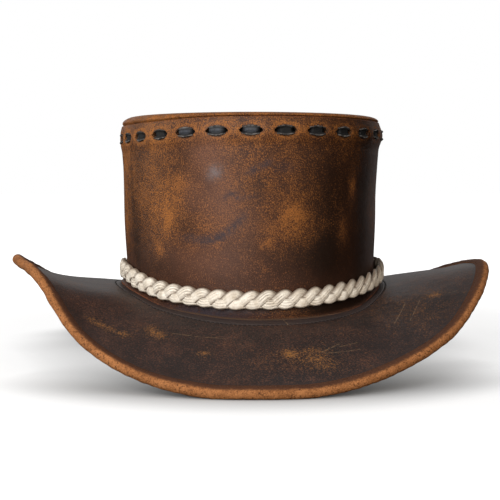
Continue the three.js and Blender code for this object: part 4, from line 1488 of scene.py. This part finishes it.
FLOOR_SIZE = 12.0
CAMERA_PLACE = (-0.0741, -0.8468, 0.1282)
CAMERA_PITCH_DEGREES = 3.7
CAMERA_TURN_DEGREES = -5.0
PHOTO_SIDE = 500
PHOTO_FOCUS = 1206.5
SENSOR = 36.0
FLOOR_WHITE = (0.3, 0.3, 0.3, 1)
FLOOR_DROP = 0.2
FLOOR_GLOW = 0.72
FLOOR_GLOW_FAR = 1.1
FLOOR_SHADE_REACH = 0.06
FLOOR_CONTACT_SHADE = 0.6


def pale_floor():
    """Square plane just under the hat that lends it no light: white, shaded where the hat is close overhead,
    and most along the arcs where the brim rests, and brighter far away so that no horizon shows."""
    half = FLOOR_SIZE / 2 / MM
    corners = half * np.array([[-1, -1, 0], [1, -1, 0], [1, 1, 0], [-1, 1, 0]]) - (0, 0, FLOOR_DROP)
    mesh = make_mesh("floor", corners, np.array([[0, 1, 2, 3]]))
    nodes = new_material("Pale floor")
    open_sky = nodes.add("AmbientOcclusion", {"Distance": FLOOR_SHADE_REACH}, samples=24)["AO"]
    half_width = (CROWN_WIDTH / 2 + BRIM_REACH_SIDE) * MM
    half_length = (CROWN_LENGTH / 2 + BRIM_REACH_FRONT) * MM
    place = nodes.coordinates["Object"]
    scaled = nodes.vectors("MULTIPLY", place, (1 / half_width, 1 / half_length, 0))
    from_middle = nodes.vectors("LENGTH", scaled, output="Value")
    from_edge = nodes.math("ABSOLUTE", nodes.plus(from_middle, -1.0))
    to_front = nodes.math("ABSOLUTE", nodes.add("SeparateXYZ", {0: place})["Y"])
    rests = nodes.times(nodes.ramp(from_edge, 0.3, 0.0), nodes.ramp(to_front, 0.08, 0.15))
    shade = nodes.times(open_sky, nodes.scaled(rests, -FLOOR_CONTACT_SHADE, 1.0))
    glow = nodes.scaled(nodes.ramp(from_middle, 1.5, 4.0), FLOOR_GLOW_FAR - FLOOR_GLOW, FLOOR_GLOW)
    mesh.materials.append(nodes.finish(
        Base_Color=FLOOR_WHITE,
        Roughness=0.9,
        Emission_Color=nodes.mix(nodes.times(glow, shade), (0, 0, 0, 1), (1, 1, 1, 1)),
        Emission_Strength=1.0,
    ))
    floor = add_object("floor", mesh)
    floor.visible_diffuse = False
    floor.visible_glossy = False


# Lights: azimuth from the front; distance, height, width and tallness in metres; watts; tint
LIGHTS = {
    "key_light": (-28, 1.6, 0.6, 1.0, 1.3, 31, (1, 1, 1)),
    "fill_light": (20, 2.4, 0.8, 2.2, 2.0, 28, (1, 0.88, 0.74)),
    "side_light": (-100, 1.8, 0.6, 0.8, 1.2, 14, (1, 0.93, 0.84)),
    "edge_light": (140, 1.8, 0.6, 0.7, 1.4, 1.5, (1, 1, 1)),
    "back_light": (-170, 2.0, 0.8, 2.6, 0.9, 6.5, (1, 1, 1)),
}
CROWN_MIDDLE = 0.09


def soft_lights():
    """Rectangular lights, each turned to face the middle of the crown."""
    for name, (azimuth, distance, height, width, tall, power, tint) in LIGHTS.items():
        data = bpy.data.lights.new(name, "AREA")
        data.shape = "RECTANGLE"
        data.size = width
        data.size_y = tall
        data.energy = power
        data.color = tint
        light = add_object(name, data)
        turn = np.radians(azimuth)
        light.location = (distance * np.sin(turn), -distance * np.cos(turn), height)
        light.rotation_euler = (np.arctan2(distance, height - CROWN_MIDDLE), 0, turn)


def pale_sky():
    """White to the camera; as light, a bright round zenith that fades to a dim horizon."""
    world = bpy.data.worlds.new("Pale sky")
    bpy.context.scene.world = world
    world.use_nodes = True
    world.node_tree.nodes.clear()
    nodes = Nodes(world, world.node_tree)
    height = nodes.add("SeparateXYZ", {0: nodes.coordinates["Generated"]})["Z"]
    light = nodes.mix(nodes.ramp(height, 0.75, 0.97), (0.02, 0.02, 0.021, 1), (1.1, 1.1, 1.12, 1))
    dim = nodes.add("Background", {"Color": light})[0]
    white = nodes.add("Background", {"Color": (1, 1, 1, 1)})[0]
    seen = nodes.add("LightPath")["Is Camera Ray"]
    nodes.add("OutputWorld", {"Surface": nodes.add("MixShader", {0: seen, 1: dim, 2: white})[0]})


def photo_camera():
    """Camera at the photo's place; its lens is the focus in pixels times the sensor over the photo's side."""
    data = bpy.data.cameras.new("camera")
    data.sensor_width = SENSOR
    data.lens = PHOTO_FOCUS * SENSOR / PHOTO_SIDE
    camera = add_object("camera", data)
    camera.location = CAMERA_PLACE
    camera.rotation_euler = (np.radians(90 - CAMERA_PITCH_DEGREES), 0, np.radians(CAMERA_TURN_DEGREES))
    bpy.context.scene.camera = camera


pale_floor()
pale_sky()
soft_lights()
photo_camera()
bpy.context.scene.view_settings.view_transform = "Standard"
